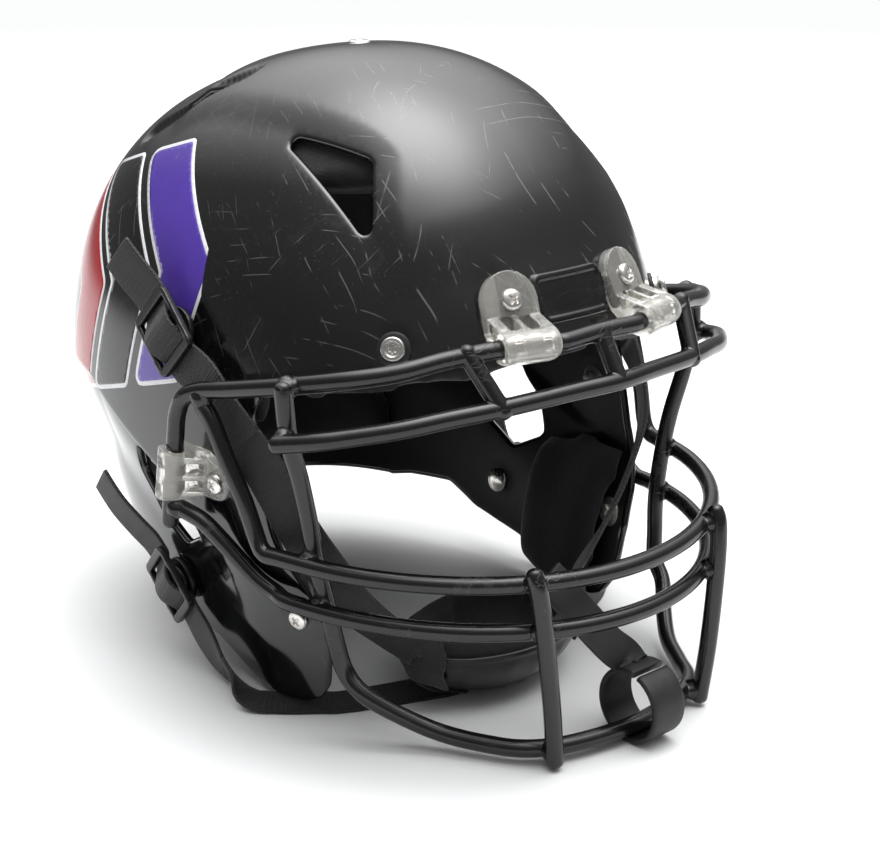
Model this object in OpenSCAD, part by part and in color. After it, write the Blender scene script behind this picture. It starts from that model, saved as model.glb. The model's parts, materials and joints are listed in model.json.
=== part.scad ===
/* [Shell] */
// Half of the shell's greatest width
shell_half = 113; // [110:0.5:116]
// Reach of the shell from its middle to the brow
shell_front = 151; // [148:0.5:154]
// Reach of the shell from its middle to the back
shell_back = 151; // [142:0.5:160]
// Height of the crown above the shell's middle
shell_top = 160.5; // [152:0.5:168]
// How square the shell's curves are, where 2 is an ellipsoid
shell_square = 2.37; // [2.3:0.01:2.45]
// Lean of the shell's long axis, forehead up
shell_lean = 15; // [13:0.5:17]
// Wall of the shell
shell_wall = 3.8; // [3:0.1:4.4]
// Depth of the step under the side ledge
ledge_step = 3.5; // [2:0.5:4.5]
// How far the jaw flaps draw in below the ledge
jaw_tuck = 9; // [6:0.5:11]
// Height of the raised crown panel
panel_rise = 2.6; // [1.5:0.1:4]
// Height of the lowest edge of the jaw flaps above the floor
flap_floor = 2.3; // [2.2:0.1:3]

/* [Face guard] */
// Radius of the coated wire
wire_r = 3.7; // [3.2:0.1:3.8]
// Half width of the guard at its mouth bars
guard_half = 113.5; // [112:0.5:115]
// Reach of the upper mouth bar from the middle of its curve to its nose
guard_reach = 119; // [117:0.5:121]
// Height of the upper mouth bar at the nose
mouth_z = 80; // [78:0.5:82]
// Drop from the upper to the lower mouth bar
mouth_drop = 20; // [18:0.5:23]
// Height of the chin bar at the nose
chin_z = 6.9; // [6.9:0.1:8]
// Reach of the chin bar at the nose
chin_reach = 157.5; // [156:0.5:160]

/* [Clips and screws] */
// Thickness of the clip tabs
clip_t = 5; // [4:0.5:6]
// Wall of the clips round the wire
clip_wall = 3; // [2.4:0.1:3.6]
// Width of the two forehead clips
brow_clip_w = 24; // [20:0.5:26]
// Width of the two side clips at the wire
side_clip_w = 24; // [20:0.5:26]
// Width of the two side clips at the screw
side_clip_end_w = 15; // [13:0.5:17]
// Radius of the screw shanks
screw_r = 2.4; // [2:0.1:2.6]
// Radius of the screw heads
screw_head_r = 4.6; // [4:0.1:5]
// Height of the screw heads
screw_head_h = 2.6; // [2:0.1:3]

/* [Snaps and strap] */
// Radius of the snap studs
stud_r = 4.8; // [4:0.1:5]
// Height of the snap studs above their washers
stud_h = 5; // [4:0.5:6]
// Radius of the washers under the studs
washer_r = 6.8; // [6.2:0.1:7.4]
// Height of the washers under the studs
washer_h = 1.6; // [1.2:0.1:2]
// Width of the strap webbing
strap_w = 19; // [17:0.5:20]
// Thickness of the strap webbing
strap_t = 1.8; // [1.4:0.1:2]
// Radius of the buckles' snap caps
cap_r = 10.5; // [9:0.5:11.5]
// Width of the buckles' frames
buckle_w = 25; // [24:0.5:27]
// Length of the buckles' frames
buckle_l = 31; // [29:0.5:34]

/* [Lining] */
// Thickness of the crown and back pads
pad_t = 20; // [14:1:24]
// Thickness of the brow and side pads
side_pad_t = 15; // [10:1:18]
// Thickness of the jaw pads
jaw_pad_t = 15; // [10:1:18]

/* [Tether] */
// Radius of the tether's loop inside
loop_r = 13.6; // [13.2:0.2:14.4]
// Thickness of the tether's rubber
tether_t = 2.8; // [2.2:0.1:3]
// Width of the tether's loop
loop_w = 18; // [14:1:20]
// Width of the tether's strap
tether_w = 17; // [14:1:18]

/* [Hidden] */

// Shift that puts the origin under the middle of the whole helmet
y_shift = 0.4;
z_shift = -0.1;

function lerp(a, b, t) = a + (b - a) * t;
function smooth(t) = let (u = min(1, max(0, t))) u * u * (3 - 2 * u);
function unit(v) = v / norm(v);
function flip(p) = [for (v = p) [-v.x, v.y, v.z]];
function turned(p) = [for (i = [len(p) - 1:-1:0]) p[i]];

// A smooth row of points through the given ones, k steps between each two
function at(p, i) = p[max(0, min(len(p) - 1, i))];
function bend(a, b, c, d, t) =
    0.5 * (2 * b + (c - a) * t + (2 * a - 5 * b + 4 * c - d) * t * t
           + (3 * b - a - 3 * c + d) * t * t * t);
function through(p, k) = [
    for (i = [0:len(p) - 2])
        for (j = [0:k - 1])
            bend(at(p, i - 1), p[i], p[i + 1], at(p, i + 2), j / k),
    p[len(p) - 1]
];
// The same row at two steps, without the points between that bend it by little
function bent(p, i) = acos(min(1, unit(p[i] - p[i - 1]) * unit(p[i + 1] - p[i])));
function along_bends(p) =
    let (q = through(p, 2))
        [for (i = [0:len(q) - 1]) if (i % 2 == 0 || bent(q, i) > 3.2) q[i]];

// Closed solid from rings of equally many points
module skin_rings(rings) {
    n = len(rings);
    m = len(rings[0]);
    points = [for (r = rings) for (v = r) v];
    sides = [
        for (i = [0:n - 2])
            for (j = [0:m - 1])
                let (a = i * m + j, b = i * m + (j + 1) % m)
                    for (f = [[a, b + m, b], [a, a + m, b + m]]) f
    ];
    cap = [for (j = [1:m - 2]) [0, j, j + 1]];
    far = (n - 1) * m;
    top = [for (j = [1:m - 2]) [far, far + j + 1, far + j]];
    polyhedron(points, concat(sides, cap, top));
}

// Tangents of a row of points, and a side direction carried along it without twist
function tangents(p) = [for (i = [0:len(p) - 1]) unit(at(p, i + 1) - at(p, i - 1))];
function tip(u, t0, t1) =
    let (c = cross(t0, t1))
        u + cross(c, u) + cross(c, cross(c, u)) / (1 + t0 * t1);
function carry(t, u, i = 0) =
    i == len(t) - 1 ? [u] : concat([u], carry(t, unit(tip(u, t[i], t[i + 1])), i + 1));

// Round wire through points
module wire(p, r = wire_r, sides = 8) {
    t = tangents(p);
    first = abs(t[0].z) < 0.9 ? [0, 0, 1] : [0, 1, 0];
    u = carry(t, unit(cross(t[0], cross(first, t[0]))));
    skin_rings([
        for (i = [0:len(p) - 1])
            [for (j = [0:sides - 1])
                let (a = (j + 0.5) * 360 / sides)
                    p[i] + r * (cos(a) * u[i] + sin(a) * cross(t[i], u[i]))]
    ]);
}

// The shell's outside: a leaning superellipsoid with a long jaw and a short nape
mid = [0, 19, 104];
jaw_drop = 200;
nape_drop = 110;
function lean(p) = [
    p.x,
    p.y * cos(shell_lean) - p.z * sin(shell_lean),
    p.y * sin(shell_lean) + p.z * cos(shell_lean)
];
function reach(d) =
    let (
        q = lean(d),
        b = q.y < 0 ? shell_front : shell_back,
        low = lerp(jaw_drop, nape_drop, smooth(q.y / 0.8)),
        c = q.z > 0 ? shell_top : low,
        n = shell_square
    )
    pow(pow(abs(q.x) / shell_half, n) + pow(abs(q.y) / b, n) + pow(abs(q.z) / c, n), -1 / n);
function aim(a, e) = [sin(a) * cos(e), -cos(a) * cos(e), sin(e)];
function bare(d) = mid + d * reach(d);

// The ledge on the sides, and how far the surface draws in below it
function ledge_z(y) = 91 + 0.4 * min(85, max(-20, y));
function fall(d) = let (p = bare(d)) ledge_z(p.y) - p.z;
function inset(y, t) =
    ledge_step * smooth(t / 6) * smooth((y + 34) / 36) + jaw_tuck * smooth(t / 48);
function slope(d) =
    let (e = 0.02, s = unit(cross(d, [0, 0, 1])), w = cross(s, d))
        unit(cross(bare(unit(d + e * w)) - bare(unit(d - e * w)),
                   bare(unit(d + e * s)) - bare(unit(d - e * s))));
function outer(d) =
    let (p = bare(d), t = ledge_z(p.y) - p.z)
        t <= 0 ? p : p - slope(d) * inset(p.y, t);

// Elevation at which a column of the surface has dropped below the ledge by t
function drop_at(a, t, lo = -80, hi = 60, k = 0) =
    k == 16 ? (lo + hi) / 2
    : let (m = (lo + hi) / 2)
        fall(aim(a, m)) < t ? drop_at(a, t, lo, m, k + 1) : drop_at(a, t, m, hi, k + 1);

crown_rows = 10;
low_rows = 4;
columns = 48;
function low_end(a) = lerp(96, 100, smooth(-cos(a)));
function column(a) =
    let (e0 = drop_at(a, 0))
        concat(
            [for (k = [1:crown_rows]) outer(aim(a, 90 - (90 - e0) * k / crown_rows))],
            [outer(aim(a, drop_at(a, 6)))],
            [for (k = [1:low_rows])
                outer(aim(a, drop_at(a, 6 + (low_end(a) - 6) * k / low_rows)))]
        );
function inner(d, depth = shell_wall) = outer(d) - slope(d) * depth;
function column_in(a) =
    let (e0 = drop_at(a, 0))
        concat(
            [for (k = [1:crown_rows]) inner(aim(a, 90 - (90 - e0) * k / crown_rows))],
            [inner(aim(a, drop_at(a, 6)))],
            [for (k = [1:low_rows])
                inner(aim(a, drop_at(a, 6 + (low_end(a) - 6) * k / low_rows)))]
        );

// Where the ray from the middle through v meets the outside, and which way it faces there
function spot(v) = let (d = unit(v - mid)) [outer(d), slope(d)];

// Places children on a spot with +Z outward and +X towards the far point
module on(s, toward, lift = 0) {
    n = s[1];
    x = unit((toward - s[0]) - n * (n * (toward - s[0])));
    y = cross(n, x);
    o = s[0] + n * lift;
    multmatrix([[x.x, y.x, n.x, o.x], [x.y, y.y, n.y, o.y], [x.z, y.z, n.z, o.z], [0, 0, 0, 1]])
        children();
}
module both() {
    children();
    mirror([1, 0, 0]) children();
}
module placed(c) {
    color(c) translate([0, y_shift, z_shift]) children();
}

// Spots on the wearer's right; the left ones are mirrored
seat_cut = 0.6;
temple_spot = spot([34 - shell_half, -101, 173]);
brow_clip_spot = spot([-36, -114, 186]);
side_clip_spot = spot([1 - shell_half, -27, 104]);
upper_stud_spot = spot([3 - shell_half, 2.5, 162]);
lower_stud_spot = spot([9 - shell_half, 27, 41]);
jaw_screw_spot = spot([-99, -54, 48]);
below = [0, 0, -400];

// Points beside a shell 113 to a side, moved out with a wider one from x 50 to x 100 on
function wider() = shell_half - 113;
function beside(p) = [
    for (v = p) v + [sign(v.x) * wider() * smooth((abs(v.x) - 50) / 50), 0, 0]
];

// Wire bars of the guard, right half points given with x to the left
brow_bar_at = [35.5, -127.4, 169.5];
brow_bar_way = [cos(15), sin(15), 0];
side_bar_gap = 11;
side_bar_at = [shell_half + side_bar_gap, -9.7, 105.5];
side_bar_way = unit([0, 5, -27]);
function on_line(c, w, steps) = [for (k = steps) c + w * k];
ring_half = concat(
    [[0, -132, 170]],
    on_line(brow_bar_at, brow_bar_way, [-18, -12.5, 12.5, 18]),
    beside([[69, -116, 167.5], [86, -108.5, 164.3], [102, -94, 161], [111.5, -71, 155.5],
            [117, -46, 149.5], [121, -28, 145.5], [123.4, -19.5, 141], [124, -15, 133]]),
    on_line(side_bar_at, side_bar_way, [-18, -13, 13, 18, 22])
);
function mirrored(half) = concat(flip(turned(half)), [for (i = [1:len(half) - 1]) half[i]]);
ring_path = along_bends(mirrored(ring_half));

// Front of the mouth bars: half an ellipse about a point behind them
mouth_y = -40;
function front(a, half, long, z) = [half * sin(a), mouth_y - long * cos(a), z];
sink = 1;
weld = 2 * wire_r - sink;
upper_front = guard_half + wider();
lower_front = upper_front - 4.5;
lower_reach = guard_reach + 2;
upper_half = concat(
    [for (a = [0:13:78]) front(a, upper_front, guard_reach, mouth_z + 2 * smooth(a / 80))],
    beside([[113, -57.5, 82.5], [113.4, -53, 88], [115.5, -48, 103], [118.2, -41, 119],
            [120, -34, 134], [121, -29.8, 139.4]])
);
lower_half = concat(
    [for (a = [0:13:78])
        front(a, lower_front, lower_reach, mouth_z - mouth_drop + 1.5 * smooth(a / 80))],
    beside([[106.5, -55, 62.5], [109, -46, 66.5], [112.5, -37.5, 74], [116, -30, 81.5],
            [119, -22.5, 87.5], [121.9, -13.3, 90.5]])
);
upper_path = along_bends(mirrored(upper_half));
lower_path = along_bends(mirrored(lower_half));
eye_half = beside([
    [0, -143, 152], [22, -140, 151.5], [53, -133, 149.5], [76, -123.5, 147],
    [91, -115.5, 144.5], [106, -103, 141.5], [114.6, -94, 139.5], [121.6, -80, 136.5]
]);
eye_path = along_bends(mirrored(eye_half));
chin_half = beside([
    [0, -chin_reach, chin_z], [30, -chin_reach + 4.5, chin_z], [48, -chin_reach + 13.5, chin_z],
    [58, -chin_reach + 27.5, chin_z], [68, -114, chin_z + 2], [79, -101, 15.5], [89, -90.5, 24],
    [92, -82.5, 32], [94.5, -79.5, 45], [96.8, -77.3, 61], [101.2, -76, 81], [105, -77, 100],
    [110.5, -79, 120], [115, -79, 136], [116, -78, 152], [116, -77.5, 157]
]);
chin_path = along_bends(mirrored(chin_half));

module brow_ring() placed("#17171a") wire(ring_path);
module eye_bar() placed("#17171a") wire(eye_path);
module upper_mouth_bar() placed("#17171a") wire(upper_path);
module lower_mouth_bar() placed("#17171a") wire(lower_path);
module chin_wire() placed("#17171a") wire(chin_path);
// Each upright stands in front of the mouth bars and the chin wire that it is welded to
function bar_y(x, half, long) = mouth_y - long * sqrt(1 - pow(x / half, 2));
module mouth_uprights() placed("#17171a") both()
    wire([[-52.5, bar_y(52.5, upper_front, guard_reach) - 5.5, mouth_z + 6],
          [-52.3, bar_y(52.3, upper_front, guard_reach) - 7.8, mouth_z],
          [-50.3, bar_y(50.3, lower_front, lower_reach) - 7.85, mouth_z - mouth_drop + 2],
          [-46.5, -chin_reach + 1.5, 30], [-43.2, -chin_reach + 2.5, chin_z - 2.7]]);

// Short posts between the brow ring and the eye bar, their ends sunk in both wires
module post(a, b) {
    w = unit(b - a) * (wire_r - sink);
    wire([a + w, (a + b) / 2, b - w]);
}
module brow_posts() placed("#17171a") {
    post([0, -132, 170], [0, -143, 152]);
    both() post([-60, -120.2, 168.7], [-54, -132.8, 149.5]);
}

// Screws: pan head with a cross recess, shank, and the barrel nut behind the shell
hole_gap = 0.3;
seat_w = shell_wall - seat_cut - 0.3;
module screw(grip) {
    difference() {
        union() {
            translate([0, 0, grip]) cylinder(r = screw_head_r, h = screw_head_h * 0.45, $fn = 12);
            translate([0, 0, grip + screw_head_h * 0.45])
                cylinder(r1 = screw_head_r, r2 = screw_head_r * 0.62, h = screw_head_h * 0.55,
                    $fn = 12);
            translate([0, 0, -seat_w - 4]) cylinder(r = screw_r, h = grip + seat_w + 4.1, $fn = 12);
        }
        for (a = [45, 135]) rotate([0, 0, a])
            translate([-2.1, -0.45, grip + screw_head_h - 1.3]) cube([4.2, 0.9, 2]);
    }
}
module nut() {
    difference() {
        union() {
            translate([0, 0, -seat_w - 1.6]) cylinder(r = 7, h = 1.58, $fn = 12);
            translate([0, 0, -seat_w - 4.6]) cylinder(r = 4.2, h = 3.2, $fn = 6);
        }
        translate([0, 0, -seat_w - 5]) cylinder(r = screw_r + 0.05, h = 6, $fn = 12);
    }
}

// Loop clip: a tab under the screw, and a loop round the wire at u along and n above the seat
module clip(u, n, wide, end_wide, tail) {
    loop = wire_r + 0.15 + clip_wall;
    difference() {
        intersection() {
            rotate([90, 0, 0]) translate([0, 0, -wide / 2]) linear_extrude(wide) union() {
                translate([-tail, 0]) square([tail + u - 8, clip_t]);
                hull() {
                    translate([u - 13, 0]) square([5, clip_t]);
                    translate([u, n]) circle(loop, $fn = 32);
                }
            }
            linear_extrude(60, center = true) hull() {
                circle(end_wide / 2, $fn = 28);
                translate([u + loop - 4, wide / 2 - 4]) circle(4, $fn = 12);
                translate([u + loop - 4, 4 - wide / 2]) circle(4, $fn = 12);
            }
        }
        translate([u, wide, n]) rotate([90, 0, 0]) cylinder(r = wire_r + 0.15, h = 2 * wide, $fn = 32);
        translate([0, 0, -1]) cylinder(r = screw_r + hole_gap, h = 12, $fn = 12);
    }
}
// Seat frame squared to the wire, so that the loop's bore follows the bar
function squared(s, w) = [s[0], unit(s[1] - w * (s[1] * w))];
function along(s, c) = norm((c - s[0]) - s[1] * (s[1] * (c - s[0])));
function above(s, c) = s[1] * (c - s[0]);
function dip(s) = [s[0] - s[1] * seat_cut, s[1]];
brow_bar_right = [-brow_bar_at.x, brow_bar_at.y, brow_bar_at.z];
side_bar_right = [-side_bar_at.x, side_bar_at.y, side_bar_at.z];
// The foot of a seat slid along the wire until it faces the bar's middle
function faced(s, c, w) = [s[0] + w * (w * (c - s[0])), s[1]];
brow_seat = dip(squared(faced(brow_clip_spot, brow_bar_right, [cos(15), -sin(15), 0]),
    [cos(15), -sin(15), 0]));
side_seat = dip(squared(side_clip_spot, side_bar_way));
side_loop_at = side_bar_right + side_bar_way * (side_bar_way * (side_seat[0] - side_bar_right));
module brow_clip() {
    on(brow_seat, brow_bar_right)
        clip(along(brow_seat, brow_bar_right), above(brow_seat, brow_bar_right),
            brow_clip_w, brow_clip_w, brow_clip_w / 2);
}
module side_clip() {
    on(side_seat, side_loop_at)
        clip(along(side_seat, side_loop_at), above(side_seat, side_loop_at),
            side_clip_w, side_clip_end_w, side_clip_end_w / 2);
}
module brow_clip_right() placed("#d8d6c4") brow_clip();
module brow_clip_left() placed("#d8d6c4") mirror([1, 0, 0]) brow_clip();
module side_clip_right() placed("#d8d6c4") side_clip();
module side_clip_left() placed("#d8d6c4") mirror([1, 0, 0]) side_clip();
module clip_screws() placed("#c9c7c1") both() {
    on(brow_seat, brow_bar_right) screw(clip_t);
    on(side_seat, side_loop_at) screw(clip_t);
}
module clip_nuts() placed("#a9a7a0") both() {
    on(brow_seat, brow_bar_right) nut();
    on(side_seat, side_loop_at) nut();
}
jaw_seat = dip(jaw_screw_spot);
module jaw_screws() placed("#c9c7c1") both() on(jaw_seat, below) screw(0);
module jaw_nuts() placed("#a9a7a0") both() on(jaw_seat, below) nut();

// Snap studs: a dark washer on the shell, a bright stud with a recess, a rivet tail inside
temple_seat = dip(temple_spot);
upper_seat = dip(upper_stud_spot);
lower_seat = dip(lower_stud_spot);
module stud() {
    difference() {
        union() {
            translate([0, 0, washer_h]) cylinder(r = stud_r, h = stud_h, $fn = 32);
            translate([0, 0, -seat_w - 2]) cylinder(r = 2.4, h = seat_w + washer_h + 2.1, $fn = 12);
            translate([0, 0, -seat_w - 2.6]) cylinder(r = 6, h = 2.58, $fn = 12);
        }
        translate([0, 0, washer_h + stud_h - 1.2]) cylinder(r = 2.4, h = 3, $fn = 6);
    }
}
module washer(sides = 12) {
    difference() {
        cylinder(r = washer_r, h = washer_h, $fn = sides);
        translate([0, 0, -1]) cylinder(r = 2.45, h = 5, $fn = 12);
    }
}
module temple_studs() placed("#c9c7c1") both() on(temple_seat, below) stud();
module strap_studs() placed("#c9c7c1") both() {
    on(upper_seat, below) stud();
    on(lower_seat, below) stud();
}
module stud_washers() placed("#141416") both() {
    on(temple_seat, below) washer(32);
    on(upper_seat, below) washer();
    on(lower_seat, below) washer();
}

// Shell: both surfaces and the rim between them in one solid, then the openings
module shell_body() {
    outs = [for (i = [0:columns - 1]) column(i * 360 / columns)];
    m = len(outs[0]);
    ins = [for (i = [0:columns - 1]) column_in(i * 360 / columns)];
    points = concat(
        [bare([0, 0, 1])],
        [for (r = [0:m - 1]) for (c = outs) c[r]],
        [bare([0, 0, 1]) - [0, 0, shell_wall]],
        [for (r = [0:m - 1]) for (c = ins) c[r]]
    );
    n = columns;
    base = 1 + m * n;
    last = m - 1;
    function ring(start, r, j) = start + 1 + r * n + j % n;
    polyhedron(points, concat(
        [for (j = [0:n - 1]) [0, ring(0, 0, j + 1), ring(0, 0, j)]],
        [for (r = [0:m - 2]) for (j = [0:n - 1])
            let (a = ring(0, r, j), b = ring(0, r, j + 1))
                for (f = [[a, b + n, a + n], [a, b, b + n]]) f],
        [for (j = [0:n - 1]) [base, ring(base, 0, j), ring(base, 0, j + 1)]],
        [for (r = [0:last - 1]) for (j = [0:n - 1])
            let (a = ring(base, r, j), b = ring(base, r, j + 1))
                for (f = [[a, a + n, b + n], [a, b + n, b]]) f],
        [for (j = [0:n - 1])
            let (a = ring(0, m - 1, j), b = ring(0, m - 1, j + 1),
                 c = ring(base, last, j), d = ring(base, last, j + 1))
                for (f = [[a, d, c], [a, b, d]]) f]
    ));
}

// Raised crown panel: rows from brow to back, each with its half angle and its share of the rise
panel_rows = [
    [31, 32, -0.4], [36, 27.5, 0.1], [41, 24, 0.5], [46, 22, 0.9], [50, 21, 1], [54, 18.5, 1],
    [58, 16.5, 1], [62, 16.8, 1], [67, 18, 1], [74, 20, 1], [81, 21.5, 1], [88, 22, 1],
    [95, 22, 1], [101, 22.5, 1], [105, 24, 0.7], [109, 25, 0.2], [113, 25.5, -0.4]
];
bevel = 3.6;
function fan(b, l) = [sin(l), -cos(l) * cos(b), cos(l) * sin(b)];
function raised(d, h) = let (p = bare(d)) p + unit(p - mid) * h;
panel_cols = [-1, -0.98, -0.66, -0.33, 0, 0.33, 0.66, 0.98, 1];
function panel_angle(r, k) = abs(k) == 1 ? sign(k) * (r[1] + bevel) : k * r[1];
module panel() {
    foot = -1.2;
    slab(
        [for (r = panel_rows) [for (k = panel_cols)
            let (full = r[2] * panel_rise)
                raised(fan(r[0], panel_angle(r, k)), abs(k) == 1 ? min(foot, full) : full)]],
        [for (r = panel_rows) [for (k = panel_cols) raised(fan(r[0], panel_angle(r, k) * 0.995), -2.2)]]
    );
}

// Side outline of what is kept of the shell, as points across Y and Z
side_outline = [
    [-190, 168], [-150, 166], [-122, 164], [-95, 158], [-62, 149], [-45, 144], [-41, 134],
    [-46, 116], [-50, 100], [-53, 88], [-59, 74], [-65, 60], [-67.5, 44], [-66, 28], [-62, 12],
    [-54, flap_floor], [-18, flap_floor], [-6, 14], [8, 28], [24, 30.5], [40, 34.5], [58, 45],
    [80, 42], [110, 30], [135, 26], [200, 26], [200, 300], [-190, 300]
];
ear_outline = [[27, 98], [43, 101], [47, 88], [37, 69], [20, 60], [3, 69], [11, 85]];
module across(outline, r) {
    rotate([90, 0, 90]) linear_extrude(300, center = true)
        offset(r = r, $fn = 12) offset(r = -2 * r, $fn = 12) offset(r = r, $fn = 12) polygon(outline);
}
module ray_cut(points, r, lo, hi) {
    hull() for (p = points) for (k = [lo, hi]) translate(mid + (p - mid) * k) sphere(r, $fn = 6);
}
module facing(s, r, depth = 0) {
    on(s, below) translate([0, 0, -depth]) hull() cylinder(r = r, h = 12, $fn = 12);
}
module inner_facing(s, r) {
    on(s, below) translate([0, 0, -seat_w - 10]) hull() cylinder(r = r, h = 10, $fn = 8);
}
module bore(s, r) {
    on(s, below) translate([0, 0, -15]) hull() cylinder(r = r / cos(22.5), h = 30, $fn = 8);
}
module shell() placed("#0c0c0e") difference() {
    intersection() {
        union() {
            shell_body();
            panel();
        }
        across(side_outline, 5);
    }
    across(ear_outline, 3);
    both() {
        ray_cut([[-67, -25, 236], [-57, -55, 231], [-67, -67, 210]], 3.2, 0.9, 1.1);
        ray_cut([[-67, 88, 231], [-60, 60, 245], [-47, 38, 254]], 6, 1.022, 1.1);
        ray_cut([[-58, 67, 242], [-51, 44, 252]], 2.4, 0.9, 1.1);
        facing(brow_seat, 12.5);
        facing(side_seat, 15.5);
        for (s = [temple_seat, upper_seat, lower_seat]) facing(s, washer_r + 1);
        facing(jaw_seat, screw_head_r + 1.6);
        for (s = [brow_seat, side_seat, jaw_seat]) {
            inner_facing(s, 7.6);
            bore(s, screw_r + 0.2);
        }
        for (s = [temple_seat, upper_seat, lower_seat]) {
            inner_facing(s, 6.8);
            bore(s, 2.5);
        }
    }
    translate([0, crown_at.y, 240]) hull() cylinder(r = 2.65, h = 60, $fn = 10);
    translate([0, crown_at.y, crown_at.z + panel_rise - 0.42]) hull() cylinder(r = 6, h = 9, $fn = 10);
}

// Small plug in the crown hole
crown_at = bare(unit([0, 26, 268] - mid));
module crown_valve() placed("#b9b9bd") translate([0, crown_at.y, 0]) {
    translate([0, 0, crown_at.z - 4]) cylinder(r = 2.5, h = 6.4, $fn = 10);
    translate([0, 0, crown_at.z + panel_rise - 0.4]) cylinder(r1 = 5, r2 = 4.2, h = 1.2, $fn = 12);
}

// Solid between two grids of points, the first one on the outside
module slab(top, low) {
    m = len(top);
    n = len(top[0]);
    points = concat([for (r = top) for (p = r) p], [for (r = low) for (p = r) p]);
    base = m * n;
    function id(i, j) = i * n + j;
    polyhedron(points, concat(
        [for (i = [0:m - 2]) for (j = [0:n - 2])
            for (f = [[id(i, j), id(i + 1, j + 1), id(i, j + 1)],
                      [id(i, j), id(i + 1, j), id(i + 1, j + 1)]]) f],
        [for (i = [0:m - 2]) for (j = [0:n - 2])
            for (f = [[base + id(i, j), base + id(i, j + 1), base + id(i + 1, j + 1)],
                      [base + id(i, j), base + id(i + 1, j + 1), base + id(i + 1, j)]]) f],
        [for (i = [0:m - 2]) for (e = [0, n - 1])
            let (a = id(i, e), b = id(i + 1, e))
                for (f = e == 0 ? [[a, base + b, b], [a, base + a, base + b]]
                                : [[a, b, base + b], [a, base + b, base + a]]) f],
        [for (j = [0:n - 2]) for (e = [0, m - 1])
            let (a = id(e, j), b = id(e, j + 1))
                for (f = e == 0 ? [[a, b, base + b], [a, base + b, base + a]]
                                : [[a, base + b, b], [a, base + a, base + b]]) f]
    ));
}

// Brow plate bent to the shell between the two forehead clips, with a recessed middle
plate_t = 2.6;
function plate_point(x, z, h) =
    let (y = plate_y(x, z), d = unit([x, y, z] - mid)) outer(d) + slope(d) * h;
function plate_y(x, z, lo = -160, hi = 19, k = 0) =
    k == 18 ? (lo + hi) / 2
    : let (m = (lo + hi) / 2, v = [x, m, z] - mid)
        norm(v) > reach(unit(v)) ? plate_y(x, z, m, hi, k + 1) : plate_y(x, z, lo, m, k + 1);
function plate_half(z) = lerp(17.6, 19.8, (z - 172) / 19);
module front_plate() placed("#101012") {
    xs = [-1, -0.97, -0.88, -0.85, -0.4, 0, 0.4, 0.85, 0.88, 0.97, 1];
    zs = [172, 172.5, 175, 175.6, 181.5, 187.4, 188, 190.5, 191];
    slab(
        [for (i = [0:len(zs) - 1])
            [for (j = [0:len(xs) - 1])
                let (
                    rim = i == 0 || j == 0 || i == len(zs) - 1 || j == len(xs) - 1,
                    dish = i > 2 && j > 2 && i < len(zs) - 3 && j < len(xs) - 3
                )
                    plate_point(xs[j] * plate_half(zs[i]), zs[i],
                        rim ? plate_t - 0.5 : dish ? plate_t - 0.9 : plate_t)]],
        [for (z = zs) [for (x = xs) plate_point(x * plate_half(z), z, 0.15)]]
    );
}

// Flat strap: mid points, the way its outer face looks, width and thickness
module band(p, face, w = strap_w, t = strap_t) {
    way = tangents(p);
    skin_rings([
        for (i = [0:len(p) - 1])
            let (
                n = unit(face[i] - way[i] * (face[i] * way[i])),
                s = cross(way[i], n),
                a = n * t / 2,
                b = s * w / 2
            )
                [p[i] - a - b, p[i] + a - b, p[i] + a + b, p[i] - a + b]
    ]);
}
function local(s, toward) =
    let (n = s[1], x = unit((toward - s[0]) - n * (n * (toward - s[0])))) [s[0], x, cross(n, x), n];
function put(f, u, w, n) = f[0] + f[1] * u + f[2] * w + f[3] * n;

// Buckle: a cap that snaps over the stud, a ladder frame on it
bar_w = 3;
frame_t = 3;
cap_top = washer_h + stud_h + 1.6;
slot_w = strap_w + 1.4;
end_w = 4;
module buckle() {
    difference() {
        union() {
            translate([0, 0, washer_h + 0.25]) cylinder(r = cap_r, h = 2.4, $fn = 40);
            translate([0, 0, washer_h + 0.25]) cylinder(r = stud_r + 2.2, h = cap_top - washer_h - 0.25,
                $fn = 12);
        }
        cylinder(r = stud_r + 0.05, h = washer_h + stud_h + 0.25, $fn = 32);
    }
    translate([0, 0, cap_top]) linear_extrude(frame_t) difference() {
        offset(r = 3, $fn = 12) square([buckle_l - 6, buckle_w - 6], center = true);
        for (k = [-1, 1])
            translate([k * (bar_w / 2 + (buckle_l / 2 - end_w)) / 2, 0])
                square([buckle_l / 2 - end_w - bar_w / 2, slot_w], center = true);
    }
}
upper_way = upper_seat[0] + [0, -65, -54];
lower_way = lower_seat[0] + [0, -62, -66];
module upper_buckle() on(upper_seat, upper_way) buckle();
module lower_buckle() on(lower_seat, lower_way) buckle();
module upper_buckle_right() placed("#121214") upper_buckle();
module upper_buckle_left() placed("#121214") mirror([1, 0, 0]) upper_buckle();
module lower_buckle_right() placed("#121214") lower_buckle();
module lower_buckle_left() placed("#121214") mirror([1, 0, 0]) lower_buckle();

// The strap's way through a buckle, from the tail side to the cup side
over_bar = cap_top + frame_t + 0.35 + strap_t / 2;
under_end = cap_top - 0.45 - strap_t / 2;
slot_end = buckle_l / 2 - end_w;
function lacing(f) = [
    for (k = [[-slot_end - 4.4, under_end], [-slot_end, under_end + 0.1],
              [-slot_end / 2 - 1, cap_top + 1.8], [-2.6, over_bar], [2.6, over_bar],
              [slot_end / 2 + 1, cap_top + 1.8], [slot_end, under_end + 0.1],
              [slot_end + 4.4, under_end]])
        put(f, k[0], 0, k[1])
];
upper_frame = local(upper_seat, upper_way);
lower_frame = local(lower_seat, lower_way);
function same(v, n) = [for (i = [1:n]) v];
cup_at = [-8, -78, 28];
cup_x = 46;
cup_y = 32;
cup_z = 27.9;
cup_t = 2.6;
strap_gap = 0.6;
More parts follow.
